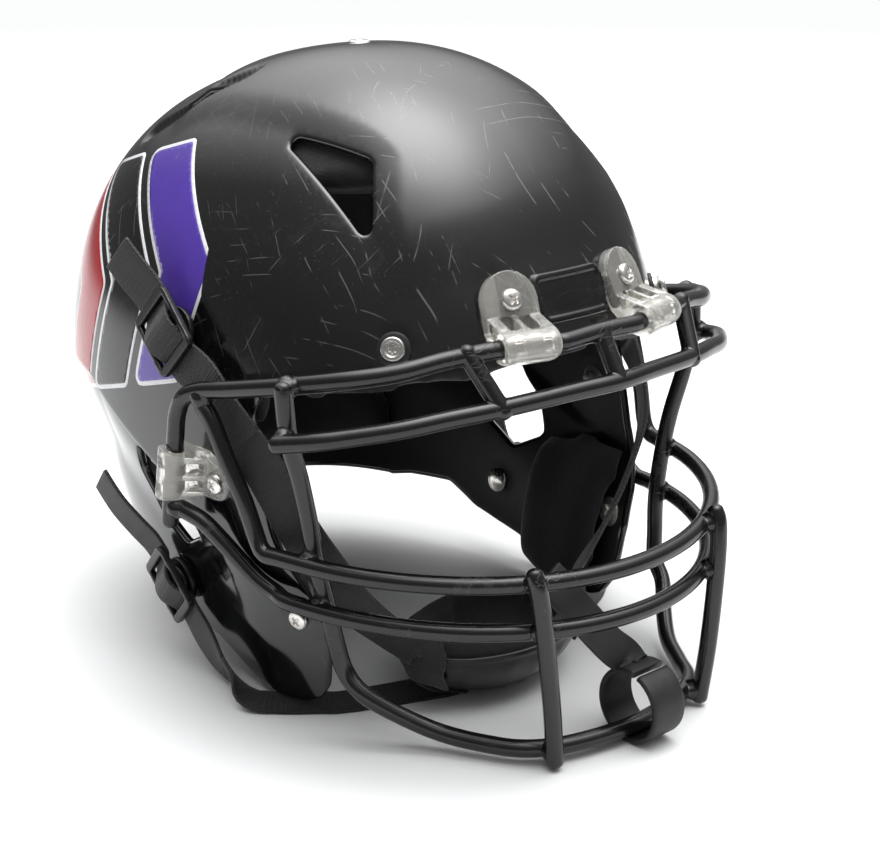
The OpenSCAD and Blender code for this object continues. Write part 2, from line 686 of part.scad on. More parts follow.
// Cup's outside at a height angle e and a side angle a, and the way it faces there
function cup_out(c, e, a) = c + [cup_x * cos(e) * cos(a), cup_y * cos(e) * sin(a), cup_z * sin(e)];
function cup_face(e, a) = unit([cos(e) * cos(a) / cup_x, cos(e) * sin(a) / cup_y, sin(e) / cup_z]);
function on_cup(c, e, a) = cup_out(c, e, a) + cup_face(e, a) * (strap_gap + strap_t / 2);
module upper_strap(side) {
    c = [-side * cup_at.x, cup_at.y, cup_at.z];
    move = [c.x + 8, 0, 0];
    lace = lacing(upper_frame);
    head = [for (k = [[-43, 13], [-32, 10.5], [-23, 7.8]]) put(upper_frame, k[0], 0, k[1])];
    run = concat(
        beside([[-114.8, -22, 147.5], [-113.4, -32, 137.5], [-110.6, -43, 125.5],
                [-106.8, -55.5, 110.5], [-101, -64.5, 91.5] + move * 0.1,
                [-91, -70, 72.5] + move * 0.4, [-79.5, -73, 54.5] + move * 0.7,
                [-63, -77, 38] + move]),
        [on_cup(c, 6, 195), on_cup(c, -12, 193), on_cup(c, -30, 191)]
    );
    face = concat(same(upper_frame[3], 3 + len(lace)),
        [[-1, -0.05, 0.12], [-1, -0.1, 0.1], [-1, -0.3, 0.1], [-0.9, -0.55, 0.1],
         [-0.85, -0.6, 0], [-0.8, -0.6, 0], [-0.75, -0.6, -0.1], [-0.75, -0.5, -0.3],
         cup_face(0, 195), cup_face(-12, 193), cup_face(-30, 191)]);
    band(concat(head, lace, run), face);
}
module lower_strap(side) {
    c = [-side * cup_at.x, cup_at.y, cup_at.z];
    move = [c.x + 8, 0, 0];
    lace = lacing(lower_frame);
    head = [for (k = [[-58, 14], [-44, 13], [-31, 10], [-22, 7.4]]) put(lower_frame, k[0], 0, k[1])];
    run = concat(
        beside([[-101.4, 7, 19.8], [-102, -2, 14.4], [-102.6, -11, 10.7], [-101.7, -20, 7.7],
                [-101.2, -29, 2.6], [-92, -38, 1], [-80, -48, 1] + move * 0.4,
                [-68, -56, 1] + move * 0.8]),
        [on_cup(c, -66, 155) + [0, 0, 0.6], on_cup(c, -46, 158), on_cup(c, -28, 160)]
    );
    face = concat(same(lower_frame[3], 4 + len(lace)),
        [[-1, 0, -0.16], [-1, 0, -0.25], [-0.95, 0, -0.45], [-0.75, 0, -0.75],
         [-0.12, 0, -1], [0, 0, -1], [0, 0, -1], [0, 0, -1],
         cup_face(-66, 155), cup_face(-46, 158), cup_face(-28, 160)]);
    band(concat(head, lace, run), face);
}
module upper_strap_right() placed("#1b1b1d") upper_strap(-1);
module upper_strap_left() placed("#1b1b1d") mirror([1, 0, 0]) upper_strap(1);
module lower_strap_right() placed("#1b1b1d") lower_strap(-1);
module lower_strap_left() placed("#1b1b1d") mirror([1, 0, 0]) lower_strap(1);

// Chin cup: a shallow bowl with a hollow, its soft liner laid inside
function bowl(k, rings, sides) = [
    for (i = [0:rings])
        [for (j = [0:sides - 1])
            let (e = -88 + 88 * i / rings, a = j * 360 / sides)
                cup_at + [(cup_x - k) * cos(e) * cos(a), (cup_y - k) * cos(e) * sin(a),
                          (cup_z - k) * sin(e)]]
];
module chin_cup() placed("#161618") {
    rings = bowl(0, 6, 24);
    ins = bowl(cup_t, 6, 24);
    skin_rings(concat(rings, [for (i = [6:-1:0]) ins[i]]));
}
module chin_pad() placed("#26262a") {
    rings = bowl(cup_t + 0.05, 6, 24);
    ins = bowl(cup_t + 6, 6, 24);
    skin_rings(concat([for (i = [0:5]) rings[i]], [for (i = [4:-1:0]) ins[i]]));
}

// Mouthguard tether: a rubber loop round the chin wire and a strap up through the bars
loop_x = 4;
loop_at = [loop_x, -chin_reach, loop_r + tether_t + 0.2];
module mouthguard_tether() placed("#1a1a1c") {
    n = 24;
    mid_r = loop_r + tether_t / 2;
    turn = [for (i = [0:n]) 250 - i * 350 / n - 150];
    ring = [for (a = turn) loop_at + mid_r * [0, cos(a), sin(a)]];
    band(ring, [for (a = turn) [0, cos(a), sin(a)]], loop_w, tether_t);
    up = [loop_at + [0, 5, mid_r - 0.6], [3, -148.5, 33.5], [-4, -146.5, 40], [-12, -143.5, 50],
          [-20, -138, 62], [-26, -131, 72]];
    band(through(up, 2), same([0, -0.9, 0.45], 11), tether_w, tether_t);
}

// Lining: cushions that follow the inside of the shell
lining_gap = 0.6;
function crown_of(u, v, ribs) =
    (0.5 + 0.5 * pow(max(0, 1 - pow(abs(u), 4)), 0.5) * pow(max(0, 1 - pow(abs(v), 4)), 0.5))
    * (1 - 0.28 * max([0, for (r = ribs) 1 - abs(u - r) / 0.12]));
module cushion(a0, a1, low, high, t, ribs = [], m = 12, n = 18) {
    us = [for (j = [0:n]) let (k = j / n) k == 0 ? -1 : k == 1 ? 1 : (2 * k - 1) * 0.985];
    vs = [for (i = [0:m]) -1 + 2 * i / m];
    function dir(u, v) =
        let (a = lerp(a0, a1, (u + 1) / 2))
            aim(a, lerp(pick(low, (u + 1) / 2), pick(high, (u + 1) / 2), (v + 1) / 2));
    slab(
        [for (v = vs) [for (u = us) inner(dir(u, v), shell_wall + lining_gap)]],
        [for (v = vs) [for (u = us)
            inner(dir(u * 0.97, v * 0.97), shell_wall + lining_gap + t * crown_of(u, v, ribs))]]
    );
}
function pick(list, t) =
    let (k = t * (len(list) - 1), i = min(len(list) - 2, floor(k))) lerp(list[i], list[i + 1], k - i);
module brow_pad() placed("#17171a")
    cushion(-52, 52, [17, 19, 20.5, 19, 17], [38, 41, 42, 41, 38], side_pad_t, [-0.5, 0, 0.5], 5, 18);
module side_pad() cushion(58, 122, [12, 4, 1, 0], [40, 44, 44, 42], side_pad_t, [0], 6, 10);
module side_pad_left() placed("#17171a") side_pad();
module side_pad_right() placed("#17171a") mirror([1, 0, 0]) side_pad();
module back_pad() placed("#17171a")
    cushion(129, 231, [5, 4, 4, 4, 5], [44, 46, 46, 46, 44], pad_t, [-0.5, 0, 0.5], 6, 20);
module nape_pad() placed("#17171a")
    cushion(131, 229, [-23, -25, -26, -25, -23], [-2, -1, -1, -1, -2], side_pad_t, [-0.33, 0.33],
        5, 18);
module jaw_pad() cushion(55, 74, [-41, -42, -42], [-14, -14, -18], jaw_pad_t, [0], 6, 6);
module jaw_pad_left() placed("#17171a") jaw_pad();
module jaw_pad_right() placed("#17171a") mirror([1, 0, 0]) jaw_pad();
module crown_pad() placed("#17171a") {
    es = [89.5, 84, 77, 70, 63, 56, 50];
    n = 21;
    top = [for (e = es) [for (j = [0:n - 1]) inner(aim(-j * 360 / n, e), shell_wall + lining_gap)]];
    low = [for (i = [0:len(es) - 1]) [for (j = [0:n - 1])
        inner(aim(-j * 360 / n, lerp(90, es[i], 0.97)),
            shell_wall + lining_gap + pad_t * (i == len(es) - 1 ? 0.55 : i == len(es) - 2 ? 0.9 : 1)
                * (j % 7 == 3 && i > 1 ? 0.8 : 1))]];
    skin_rings(concat(top, turned(low)));
}

shell();
front_plate();
crown_valve();
brow_ring();
eye_bar();
upper_mouth_bar();
lower_mouth_bar();
chin_wire();
mouth_uprights();
brow_posts();
brow_clip_right();
brow_clip_left();
side_clip_right();
side_clip_left();
clip_screws();
clip_nuts();
jaw_screws();
jaw_nuts();
temple_studs();
strap_studs();
stud_washers();
upper_buckle_right();
upper_buckle_left();
lower_buckle_right();
lower_buckle_left();
upper_strap_right();
upper_strap_left();
lower_strap_right();
lower_strap_left();
chin_cup();
chin_pad();
mouthguard_tether();
brow_pad();
crown_pad();
back_pad();
nape_pad();
side_pad_right();
side_pad_left();
jaw_pad_right();
jaw_pad_left();
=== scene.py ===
"""Football helmet: moulded shell, wire guard, straps and lining, dressed round the CAD frame."""
import json
import math

import bpy
import numpy as np
from mathutils import Matrix, Vector
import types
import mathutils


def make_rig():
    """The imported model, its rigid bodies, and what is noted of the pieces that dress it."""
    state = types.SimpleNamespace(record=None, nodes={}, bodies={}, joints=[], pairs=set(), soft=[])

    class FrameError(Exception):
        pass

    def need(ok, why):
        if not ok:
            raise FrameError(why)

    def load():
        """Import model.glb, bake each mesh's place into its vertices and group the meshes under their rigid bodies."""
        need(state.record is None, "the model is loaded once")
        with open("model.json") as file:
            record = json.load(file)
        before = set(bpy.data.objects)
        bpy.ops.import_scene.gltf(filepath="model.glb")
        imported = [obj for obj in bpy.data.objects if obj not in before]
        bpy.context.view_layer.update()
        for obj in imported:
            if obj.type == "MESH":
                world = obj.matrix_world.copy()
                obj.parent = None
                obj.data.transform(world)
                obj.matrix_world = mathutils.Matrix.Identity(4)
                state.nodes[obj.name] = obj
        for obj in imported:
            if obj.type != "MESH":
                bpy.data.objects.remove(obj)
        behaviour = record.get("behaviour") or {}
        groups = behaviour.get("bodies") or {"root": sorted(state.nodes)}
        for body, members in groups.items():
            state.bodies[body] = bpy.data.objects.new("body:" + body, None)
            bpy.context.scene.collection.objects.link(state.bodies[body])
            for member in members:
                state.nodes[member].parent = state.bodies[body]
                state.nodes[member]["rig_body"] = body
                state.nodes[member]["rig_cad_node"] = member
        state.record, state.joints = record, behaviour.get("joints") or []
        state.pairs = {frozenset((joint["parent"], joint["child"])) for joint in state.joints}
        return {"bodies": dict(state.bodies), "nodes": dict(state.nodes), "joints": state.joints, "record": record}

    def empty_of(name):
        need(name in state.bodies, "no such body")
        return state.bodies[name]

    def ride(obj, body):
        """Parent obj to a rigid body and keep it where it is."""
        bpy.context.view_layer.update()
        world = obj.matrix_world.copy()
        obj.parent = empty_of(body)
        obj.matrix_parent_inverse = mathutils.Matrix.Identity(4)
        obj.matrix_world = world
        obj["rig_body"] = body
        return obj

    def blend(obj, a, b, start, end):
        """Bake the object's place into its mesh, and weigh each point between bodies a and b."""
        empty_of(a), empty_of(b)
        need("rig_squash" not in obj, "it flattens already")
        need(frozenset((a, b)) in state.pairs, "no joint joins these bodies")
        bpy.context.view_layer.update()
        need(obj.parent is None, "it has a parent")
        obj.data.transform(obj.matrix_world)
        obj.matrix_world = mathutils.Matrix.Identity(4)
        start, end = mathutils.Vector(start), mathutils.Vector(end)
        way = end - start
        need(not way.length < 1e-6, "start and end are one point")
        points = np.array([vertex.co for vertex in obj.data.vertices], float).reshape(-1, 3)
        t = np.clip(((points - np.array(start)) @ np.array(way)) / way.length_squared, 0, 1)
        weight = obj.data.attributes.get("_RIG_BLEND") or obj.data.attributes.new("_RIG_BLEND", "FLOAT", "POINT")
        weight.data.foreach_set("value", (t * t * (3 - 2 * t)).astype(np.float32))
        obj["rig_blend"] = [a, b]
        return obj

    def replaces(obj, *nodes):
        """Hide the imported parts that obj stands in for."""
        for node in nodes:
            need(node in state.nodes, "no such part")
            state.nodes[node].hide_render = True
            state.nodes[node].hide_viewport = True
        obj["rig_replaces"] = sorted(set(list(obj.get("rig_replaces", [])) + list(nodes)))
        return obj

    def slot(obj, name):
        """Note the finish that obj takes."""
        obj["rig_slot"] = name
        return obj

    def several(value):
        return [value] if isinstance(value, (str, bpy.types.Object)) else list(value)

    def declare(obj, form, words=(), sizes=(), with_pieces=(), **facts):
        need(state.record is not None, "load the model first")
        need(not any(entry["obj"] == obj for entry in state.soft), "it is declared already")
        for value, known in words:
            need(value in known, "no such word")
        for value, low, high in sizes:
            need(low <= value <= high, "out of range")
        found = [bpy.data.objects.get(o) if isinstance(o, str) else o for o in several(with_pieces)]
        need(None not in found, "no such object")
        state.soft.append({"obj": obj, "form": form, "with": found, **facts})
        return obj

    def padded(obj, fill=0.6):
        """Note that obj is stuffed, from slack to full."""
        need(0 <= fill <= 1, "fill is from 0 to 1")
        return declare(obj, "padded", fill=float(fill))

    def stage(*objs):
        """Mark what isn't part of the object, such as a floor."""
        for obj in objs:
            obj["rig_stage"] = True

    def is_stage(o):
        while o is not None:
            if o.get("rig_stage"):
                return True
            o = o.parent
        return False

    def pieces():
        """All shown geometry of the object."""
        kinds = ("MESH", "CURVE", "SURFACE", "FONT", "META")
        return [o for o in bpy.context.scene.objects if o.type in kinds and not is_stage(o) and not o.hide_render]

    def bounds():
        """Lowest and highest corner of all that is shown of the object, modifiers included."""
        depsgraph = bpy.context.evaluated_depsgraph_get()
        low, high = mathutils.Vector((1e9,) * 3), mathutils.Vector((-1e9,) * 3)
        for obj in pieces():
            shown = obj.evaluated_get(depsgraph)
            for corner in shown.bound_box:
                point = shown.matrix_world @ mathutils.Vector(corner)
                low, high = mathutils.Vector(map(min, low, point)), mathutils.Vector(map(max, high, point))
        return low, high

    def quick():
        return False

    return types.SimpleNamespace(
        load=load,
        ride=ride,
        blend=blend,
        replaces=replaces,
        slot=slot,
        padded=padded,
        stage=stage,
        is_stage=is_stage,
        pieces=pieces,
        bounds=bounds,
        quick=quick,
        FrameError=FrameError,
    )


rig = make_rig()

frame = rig.load()
cad_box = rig.bounds()
nodes = frame["nodes"]


# View and table: seen from above the wearer's right eye through a long lens. The helmet stands
# on a sheet of pale card, which fades out far behind it.
MM = 0.001
azimuth, elevation = math.radians(-40.86), math.radians(18.50)
back = Vector((
    math.sin(azimuth) * math.cos(elevation),
    -math.cos(azimuth) * math.cos(elevation),
    math.sin(elevation),
))
right = Vector((math.cos(azimuth), math.sin(azimuth), 0))
camera_data = bpy.data.cameras.new("camera")
camera_data.sensor_width = 36
camera_data.lens = 75.68
camera_data.clip_start = 0.05
camera = bpy.data.objects.new("camera", camera_data)
camera.matrix_world = Matrix.Translation(Vector((-509.8, -623.7, 368.6)) * MM) @ Matrix(
    (right, back.cross(right), back)).transposed().to_4x4()
bpy.context.scene.collection.objects.link(camera)
bpy.context.scene.camera = camera
bpy.context.scene.view_settings.view_transform = "Standard"


class Socket:
    """One output in a node tree, so that shader maths reads as plain arithmetic."""

    def __init__(self, tree, out=None):
        self.tree = tree
        self.out = out

    def node(self, kind, inputs=None, out=0, **settings):
        made = self.tree.nodes.new("ShaderNode" + kind)
        for name, value in settings.items():
            if name == "stops":
                ramp = made.color_ramp.elements
                while len(ramp) < len(value):
                    ramp.new(1.0)
                for stop, (place, colour) in zip(ramp, value):
                    stop.position = place
                    stop.color = (*colour, 1.0)
            else:
                setattr(made, name, value)
        for name, value in (inputs or {}).items():
            slot = made.inputs[name]
            if isinstance(value, Socket):
                self.tree.links.new(value.out, slot)
            elif slot.type == "RGBA" and len(value) == 3:
                slot.default_value = (*value, 1.0)
            else:
                slot.default_value = value
        return Socket(self.tree, made.outputs[out] if made.outputs else None)

    def maths(self, operation, a, b=0.0):
        return self.node("Math", {0: a, 1: b}, operation=operation)

    def __add__(self, other):
        return self.maths("ADD", self, other)

    def __radd__(self, other):
        return self.maths("ADD", other, self)

    def __sub__(self, other):
        return self.maths("SUBTRACT", self, other)

    def __rsub__(self, other):
        return self.maths("SUBTRACT", other, self)

    def __mul__(self, other):
        return self.maths("MULTIPLY", self, other)

    def __rmul__(self, other):
        return self.maths("MULTIPLY", other, self)

    def __abs__(self):
        return self.maths("ABSOLUTE", self)

    def most(self, other):
        return self.maths("MAXIMUM", self, other)

    def step(self, low, high):
        """0 below low, 1 above high, and a soft step between; low may be the larger."""
        return self.node("MapRange", {"Value": self, "From Min": low, "From Max": high},
                         interpolation_type="SMOOTHSTEP")

    def mix(self, a, b):
        """Colour a where this is 0, colour b where it is 1."""
        return self.node("Mix", {0: self, 6: a, 7: b}, out=2, data_type="RGBA")

    def scaled(self, x, y, z):
        return self.node("VectorMath", {0: self, 1: (x, y, z)}, operation="MULTIPLY")

    def noise(self, scale, detail=2.0, roughness=0.5, distortion=0.0):
        return self.node("TexNoise", {"Vector": self, "Scale": scale, "Detail": detail,
                                      "Roughness": roughness, "Distortion": distortion})


def finish(name, look, bump_mm=0.1, strength=1.0, **fixed):
    """A material. Its look gives colour, roughness and height over a place, and alpha if it fades."""
    material = bpy.data.materials.new(name)
    material.use_nodes = True
    tree = material.node_tree
    tree.nodes.clear()
    start = Socket(tree)
    colour, roughness, height, *alpha = look(start.node("TexCoord", out=3))
    inputs = {"Base Color": colour, "Roughness": roughness}
    inputs.update({key.replace("_", " "): value for key, value in fixed.items()})
    if alpha:
        inputs["Alpha"] = alpha[0]
    if height is not None:
        inputs["Normal"] = start.node(
            "Bump", {"Height": height, "Distance": bump_mm * MM, "Strength": strength})
    shader = start.node("BsdfPrincipled", inputs)
    start.node("OutputMaterial", {"Surface": shader})
    return material


def form(name, points, faces, material=None):
    """An object of points in millimetres and faces, smooth shaded where it has a material."""
    mesh = bpy.data.meshes.new(name)
    mesh.from_pydata((np.reshape(points, (-1, 3)) * MM).tolist(), [], [list(f) for f in faces])
    if material:
        mesh.polygons.foreach_set("use_smooth", [True] * len(mesh.polygons))
        mesh.materials.append(material)
    made = bpy.data.objects.new(name, mesh)
    bpy.context.scene.collection.objects.link(made)
    return made


def card_look(place):
    """Pale card from 0.9 m round the helmet fading to nothing at 2.6 m."""
    reach = place.node("VectorMath", {0: place}, out=1, operation="LENGTH")
    return (0.72, 0.725, 0.73), 0.7, None, reach.step(2.6, 0.9)


table_half = 4000
table = form("table", [(-table_half, -table_half, 0), (table_half, -table_half, 0),
                       (table_half, table_half, 0), (-table_half, table_half, 0)],
             [(0, 1, 2, 3)], finish("pale_card", card_look))
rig.stage(table)


# Light: a soft bright ceiling over the helmet, and a weaker wide light from behind the wearer's
# left. The view sees plain near-white behind it all.
world = bpy.data.worlds.new("studio")
bpy.context.scene.world = world
world.use_nodes = True
world.node_tree.nodes.clear()
sky = Socket(world.node_tree)


def lobe(way, levels):
    """Light falling off round a direction: levels by the cosine of the angle from it."""
    peak = levels[-1][1]
    aimed = sky.node("VectorMath", {0: sky.node("TexCoord"), 1: way}, out=1, operation="DOT_PRODUCT")
    stops = [(at, (level / peak,) * 3) for at, level in levels]
    return sky.node("Background", {"Color": sky.node("ValToRGB", {"Fac": aimed}, stops=stops),
                                   "Strength": peak})


ceiling = lobe((0.150, -0.087, 0.985), [
    (0.0, 0.17), (0.2, 0.23), (0.35, 0.28), (0.5, 0.33), (0.6, 0.45), (0.7, 0.7), (0.78, 1.15),
    (0.85, 2.1), (0.9, 3.1), (0.94, 4.6), (0.97, 6.0), (1.0, 7.2)])
beyond = lobe((0.250, 0.433, 0.866), [(0.6, 0.0), (0.7, 0.35), (0.8, 0.9), (0.9, 1.6), (1.0, 2.2)])
room = sky.node("AddShader", {0: ceiling, 1: beyond})
plain = sky.node("Background", {"Color": (0.975, 0.98, 0.985), "Strength": 1.0})
seen = sky.node("LightPath")
sky.node("OutputWorld", {"Surface": sky.node("MixShader", {0: seen, 1: room, 2: plain})})


# Shell: one thick moulding of black polycarbonate, its outside polished and scratched in play.
# A raised panel runs over the crown, a vent opens each side of it, a ledge runs down to the ears,
# and its cut edges are rounded. Everything else is screwed, riveted or pressed onto it.
SHIFT = np.array([0.0, 0.4, -0.1])  # from the drawing's origin to the frame's, in millimetres
MIDDLE = np.array([0.0, 19.0, 104.0])  # the point that the shell is shaped round
shell_half, shell_front, shell_back, shell_top = 113.0, 151.0, 151.0, 160.5
shell_square, shell_wall = 2.37, 3.8
shell_lean = math.radians(15)
panel_rise, panel_bevel = 2.6, 5.0
vent_corners = [(-67, -25, 236), (-57, -55, 231), (-67, -67, 210)]
slot_ends = [(-58, 67, 242), (-51, 44, 252), (-60, 50, 245)]
vent_ease, slot_half = 3.2, 2.4
crown_holes_z, edge_reach = 190, 12
bow_corners = [(-67, 88, 231), (-47, 38, 254), (-60, 60, 245)]
bow_deep, bow_half, bow_z = 3.2, 8.5, 215
seat_deepest, seat_soft, seat_cut = 8.0, 0.8, 0.6


def unit(v):
    """Vectors at length one."""
    return v / np.maximum(np.linalg.norm(v, axis=-1, keepdims=True), 1e-12)


def smooth(t):
    """0 below 0, 1 above 1, and a soft step between."""
    t = np.clip(t, 0, 1)
    return t * t * (3 - 2 * t)


def aim(a, e):
    """Direction at a degrees round from the face and e degrees up."""
    a, e = np.radians(a), np.radians(e)
    return np.stack([np.sin(a) * np.cos(e), -np.cos(a) * np.cos(e), np.sin(e) + 0 * a], -1)


def bare(d):
    """The leaning rounded form before the ledge and the panel, along directions d."""
    y = d[..., 1] * math.cos(shell_lean) - d[..., 2] * math.sin(shell_lean)
    z = d[..., 1] * math.sin(shell_lean) + d[..., 2] * math.cos(shell_lean)
    long = np.where(y < 0, shell_front, shell_back)
    low = 200 - 90 * smooth(y / 0.8)
    tall = np.where(z > 0, shell_top, low)
    n = shell_square
    size = (np.abs(d[..., 0]) / shell_half) ** n + (np.abs(y) / long) ** n + (np.abs(z) / tall) ** n
    return MIDDLE + d * (size ** (-1 / n))[..., None]


def frame_of(d):
    """Two directions across d, level and upward."""
    side = unit(np.cross(d, [0.0, 0.0, 1.0]) + [1e-9, 0, 0])
    return side, np.cross(side, d)


def facing(d, e=0.02):
    """Which way the bare form faces, outward."""
    side, up = frame_of(d)
    return unit(np.cross(bare(unit(d + e * up)) - bare(unit(d - e * up)),
                         bare(unit(d + e * side)) - bare(unit(d - e * side))))


def ledge_height(y):
    """Height of the ledge on the side of the shell, rising to the rear."""
    return 91 + 0.4 * np.clip(y, -20, 85)


def segment_distance(p, a, b):
    """Distance of points from a segment, in as many dimensions as they have."""
    t = np.clip((p - a) @ (b - a) / max((b - a) @ (b - a), 1e-9), 0, 1)
    return np.linalg.norm(p - a - t[..., None] * (b - a), axis=-1)


def to_outline(p, outline):
    """Signed distance of plane points from a closed outline, positive inside."""
    distance = np.full(len(p), 1e9)
    inside = np.zeros(len(p), bool)
    for a, b in zip(outline, np.roll(outline, -1, axis=0)):
        distance = np.minimum(distance, segment_distance(p, a, b))
        crosses = (a[1] > p[:, 1]) != (b[1] > p[:, 1])
        if abs(b[1] - a[1]) > 1e-9:
            inside ^= crosses & (p[:, 0] < (b[0] - a[0]) * (p[:, 1] - a[1]) / (b[1] - a[1]) + a[0])
    return np.where(inside, distance, -distance)


def rounded(outline, r, steps=6):
    """The outline with its corners rounded to about r."""
    outline = np.array(outline, float)
    points = []
    for before, here, after in zip(np.roll(outline, 1, 0), outline, np.roll(outline, -1, 0)):
        back_way, on_way = unit(before - here), unit(after - here)
        half = math.acos(np.clip(back_way @ on_way, -1, 1)) / 2
        cut = min(r / math.tan(max(half, 0.05)), 0.48 * np.linalg.norm(before - here),
                  0.48 * np.linalg.norm(after - here))
        a, b = here + back_way * cut, here + on_way * cut
        for t in np.linspace(0, 1, steps):
            points.append((1 - t) ** 2 * a + 2 * t * (1 - t) * here + t * t * b)
    return np.array(points)


side_outline = rounded([
    (-190, 168), (-150, 166), (-122, 164), (-95, 158), (-62, 149), (-45, 144), (-41, 134),
    (-46, 116), (-50, 100), (-53, 88), (-59, 74), (-65, 60), (-67.5, 44), (-66, 28), (-63, 16),
    (-57, 8), (-48, 3.6), (-38, 2.3), (-22, 2.3), (-8, 8), (8, 16), (24, 19), (40, 23), (58, 32),
    (80, 32), (110, 27), (135, 26), (200, 26), (200, 300), (-190, 300)], 6)
ear_outline = rounded([(27, 98), (43, 101), (47, 88), (37, 69), (20, 60), (3, 69), (11, 85)], 4)


def on_plane(p, corners):
    """Points carried along their rays from the middle onto the plane of three corners."""
    corners = np.array(corners, float)
    centre = corners.mean(0)
    x = unit(corners[1] - corners[0])
    n = unit(np.cross(corners[1] - corners[0], corners[2] - corners[0]))
    y = np.cross(n, x)
    ray = p - MIDDLE
    hit = MIDDLE + ray * (((centre - MIDDLE) @ n) / (ray @ n))[..., None] - centre
    flat = corners - centre
    return np.stack([hit @ x, hit @ y], -1), np.stack([flat @ x, flat @ y], -1)


def right_side(p):
    """Points folded onto the wearer's right."""
    return np.concatenate([-np.abs(p[..., :1]), p[..., 1:]], -1)


def vent_edge(p):
    """Distance from the vent beside the crown panel, a triangle with eased corners."""
    plane, corners = on_plane(right_side(p), vent_corners)
    return -to_outline(plane, corners) - vent_ease


def slot_edge(p):
    """Distance from the slot that runs between the first two of its points, behind the vent."""
    plane, ends = on_plane(right_side(p), slot_ends)
    return segment_distance(plane, ends[0], ends[1]) - slot_half


def kept(p):
    """How far points of the shell lie inside its outline, ear holes, vents and slots, up to a reach."""
    across = p[:, 1:]
    edge = np.minimum(to_outline(across, side_outline),
                      np.where(np.abs(p[:, 0]) > 40, -to_outline(across, ear_outline), edge_reach))
    high = p[:, 2] > crown_holes_z
    edge[high] = np.minimum(edge[high], np.minimum(vent_edge(p[high]), slot_edge(p[high])))
    return np.minimum(edge, edge_reach)


# Rows of the crown panel: degrees up from the face, half its width in degrees, share of its rise
panel_rows = np.array([
    (25, 33, 0.0), (31, 32, 0.0), (36, 27.5, 0.1), (41, 24, 0.5), (46, 22, 0.9), (50, 21, 1),
    (54, 18.5, 1), (58, 16.5, 1), (62, 16.8, 1), (67, 18, 1), (74, 20, 1), (81, 21.5, 1),
    (88, 22, 1), (95, 22, 1), (101, 22.5, 1), (105, 24, 0.7), (109, 25, 0.2), (113, 25.5, 0)])


def outer(d):
    """The outside along directions d, drawn in below the ledge, without panel or seats."""
    p = bare(d)
    drop = ledge_height(p[..., 1]) - p[..., 2]
    inset = 3.5 * smooth(drop / 6) * smooth((p[..., 1] + 34) / 36) + 9 * smooth(drop / 48)
    return p - facing(d) * np.where(drop > 0, inset, 0)[..., None]


def spot(x, y, z, r):
    """A seat of radius r on the wearer's right: its middle and the way it faces."""
    d = unit(np.array([[x, y, z]]) - MIDDLE)
    return outer(d)[0], facing(d)[0], r


seats = {"temple": spot(-79, -101, 173, 7.8), "brow": spot(-36, -114, 186, 12.5),
         "side": spot(-112, -27, 104, 14.0), "upper": spot(-110, 2.5, 162, 7.8),
         "lower": spot(-104, 27, 41, 7.8), "jaw": spot(-99, -54, 48, 6.2)}


def panel_height(d):
    """The raised crown panel: flat along its middle, falling off in a crisp bevel."""
    along = np.degrees(np.arctan2(d[..., 2], -d[..., 1]))
    beside = np.degrees(np.abs(np.arcsin(np.clip(d[..., 0], -1, 1))))
    half = np.interp(along, panel_rows[:, 0], panel_rows[:, 1])
    share = np.interp(along, panel_rows[:, 0], panel_rows[:, 2], 0, 0)
    slope = np.clip((half + panel_bevel - beside) / panel_bevel, 0, 1)
    return panel_rise * smooth(share) * (0.85 * slope + 0.15 * smooth(slope))


def skin(d):
    """The shell's finished outside along directions d."""
    p, out = outer(d), facing(d)
    p = p + unit(p - MIDDLE) * panel_height(d)[..., None]
    folded = right_side(p)
    plane, bow = on_plane(folded, bow_corners)
    near = np.minimum(segment_distance(plane, bow[0], bow[2]), segment_distance(plane, bow[2], bow[1]))
    dip = np.where(p[..., 2] > bow_z, bow_deep * smooth((bow_half - near) / 6), 0)
    p = p - out * dip[..., None]
    for middle, way, r in seats.values():
        arm = folded - (middle - seat_cut * way)
        lift = arm @ way
        beside = np.linalg.norm(arm - lift[..., None] * way, axis=-1)
        cut = np.where((beside < r + seat_soft) & (lift > 0) & (lift < seat_deepest), lift, 0)
        cut = cut * smooth((r + seat_soft - beside) / seat_soft)
        signed = np.where(p[..., :1] > 0, way * [-1, 1, 1], way)
        p = p - signed * cut[..., None]
    return p


def slope_of(surface, edge, d, e=1e-3):
    """Size and way, over the surface, in which the edge distance grows fastest."""
    side, up = frame_of(d)
    steps = [unit(d + e * side), unit(d - e * side), unit(d + e * up), unit(d - e * up)]
    places = [surface(s) for s in steps]
    far = [edge(p) for p in places]
    ts, tu = (places[0] - places[1]) / (2 * e), (places[2] - places[3]) / (2 * e)
    es, eu = (far[0] - far[1]) / (2 * e), (far[2] - far[3]) / (2 * e)
    ss, su, uu = (ts * ts).sum(-1), (ts * tu).sum(-1), (tu * tu).sum(-1)
    det = np.maximum(ss * uu - su * su, 1e-9)
    a, b = (es * uu - eu * su) / det, (eu * ss - es * su) / det
    way = a[..., None] * ts + b[..., None] * tu
    return np.maximum(np.linalg.norm(way, axis=-1), 1e-6), way, a, b, side, up


def to_edge(surface, edge, d, level, steps=4):
    """Directions moved over the surface until they lie level millimetres inside the edge."""
    for _ in range(steps):
        size, way, a, b, side, up = slope_of(surface, edge, d)
        rest = np.clip((edge(surface(d)) - level * size) / size ** 2, -3, 3)
        d = unit(d - rest[:, None] * (a[:, None] * side + b[:, None] * up))
    return d


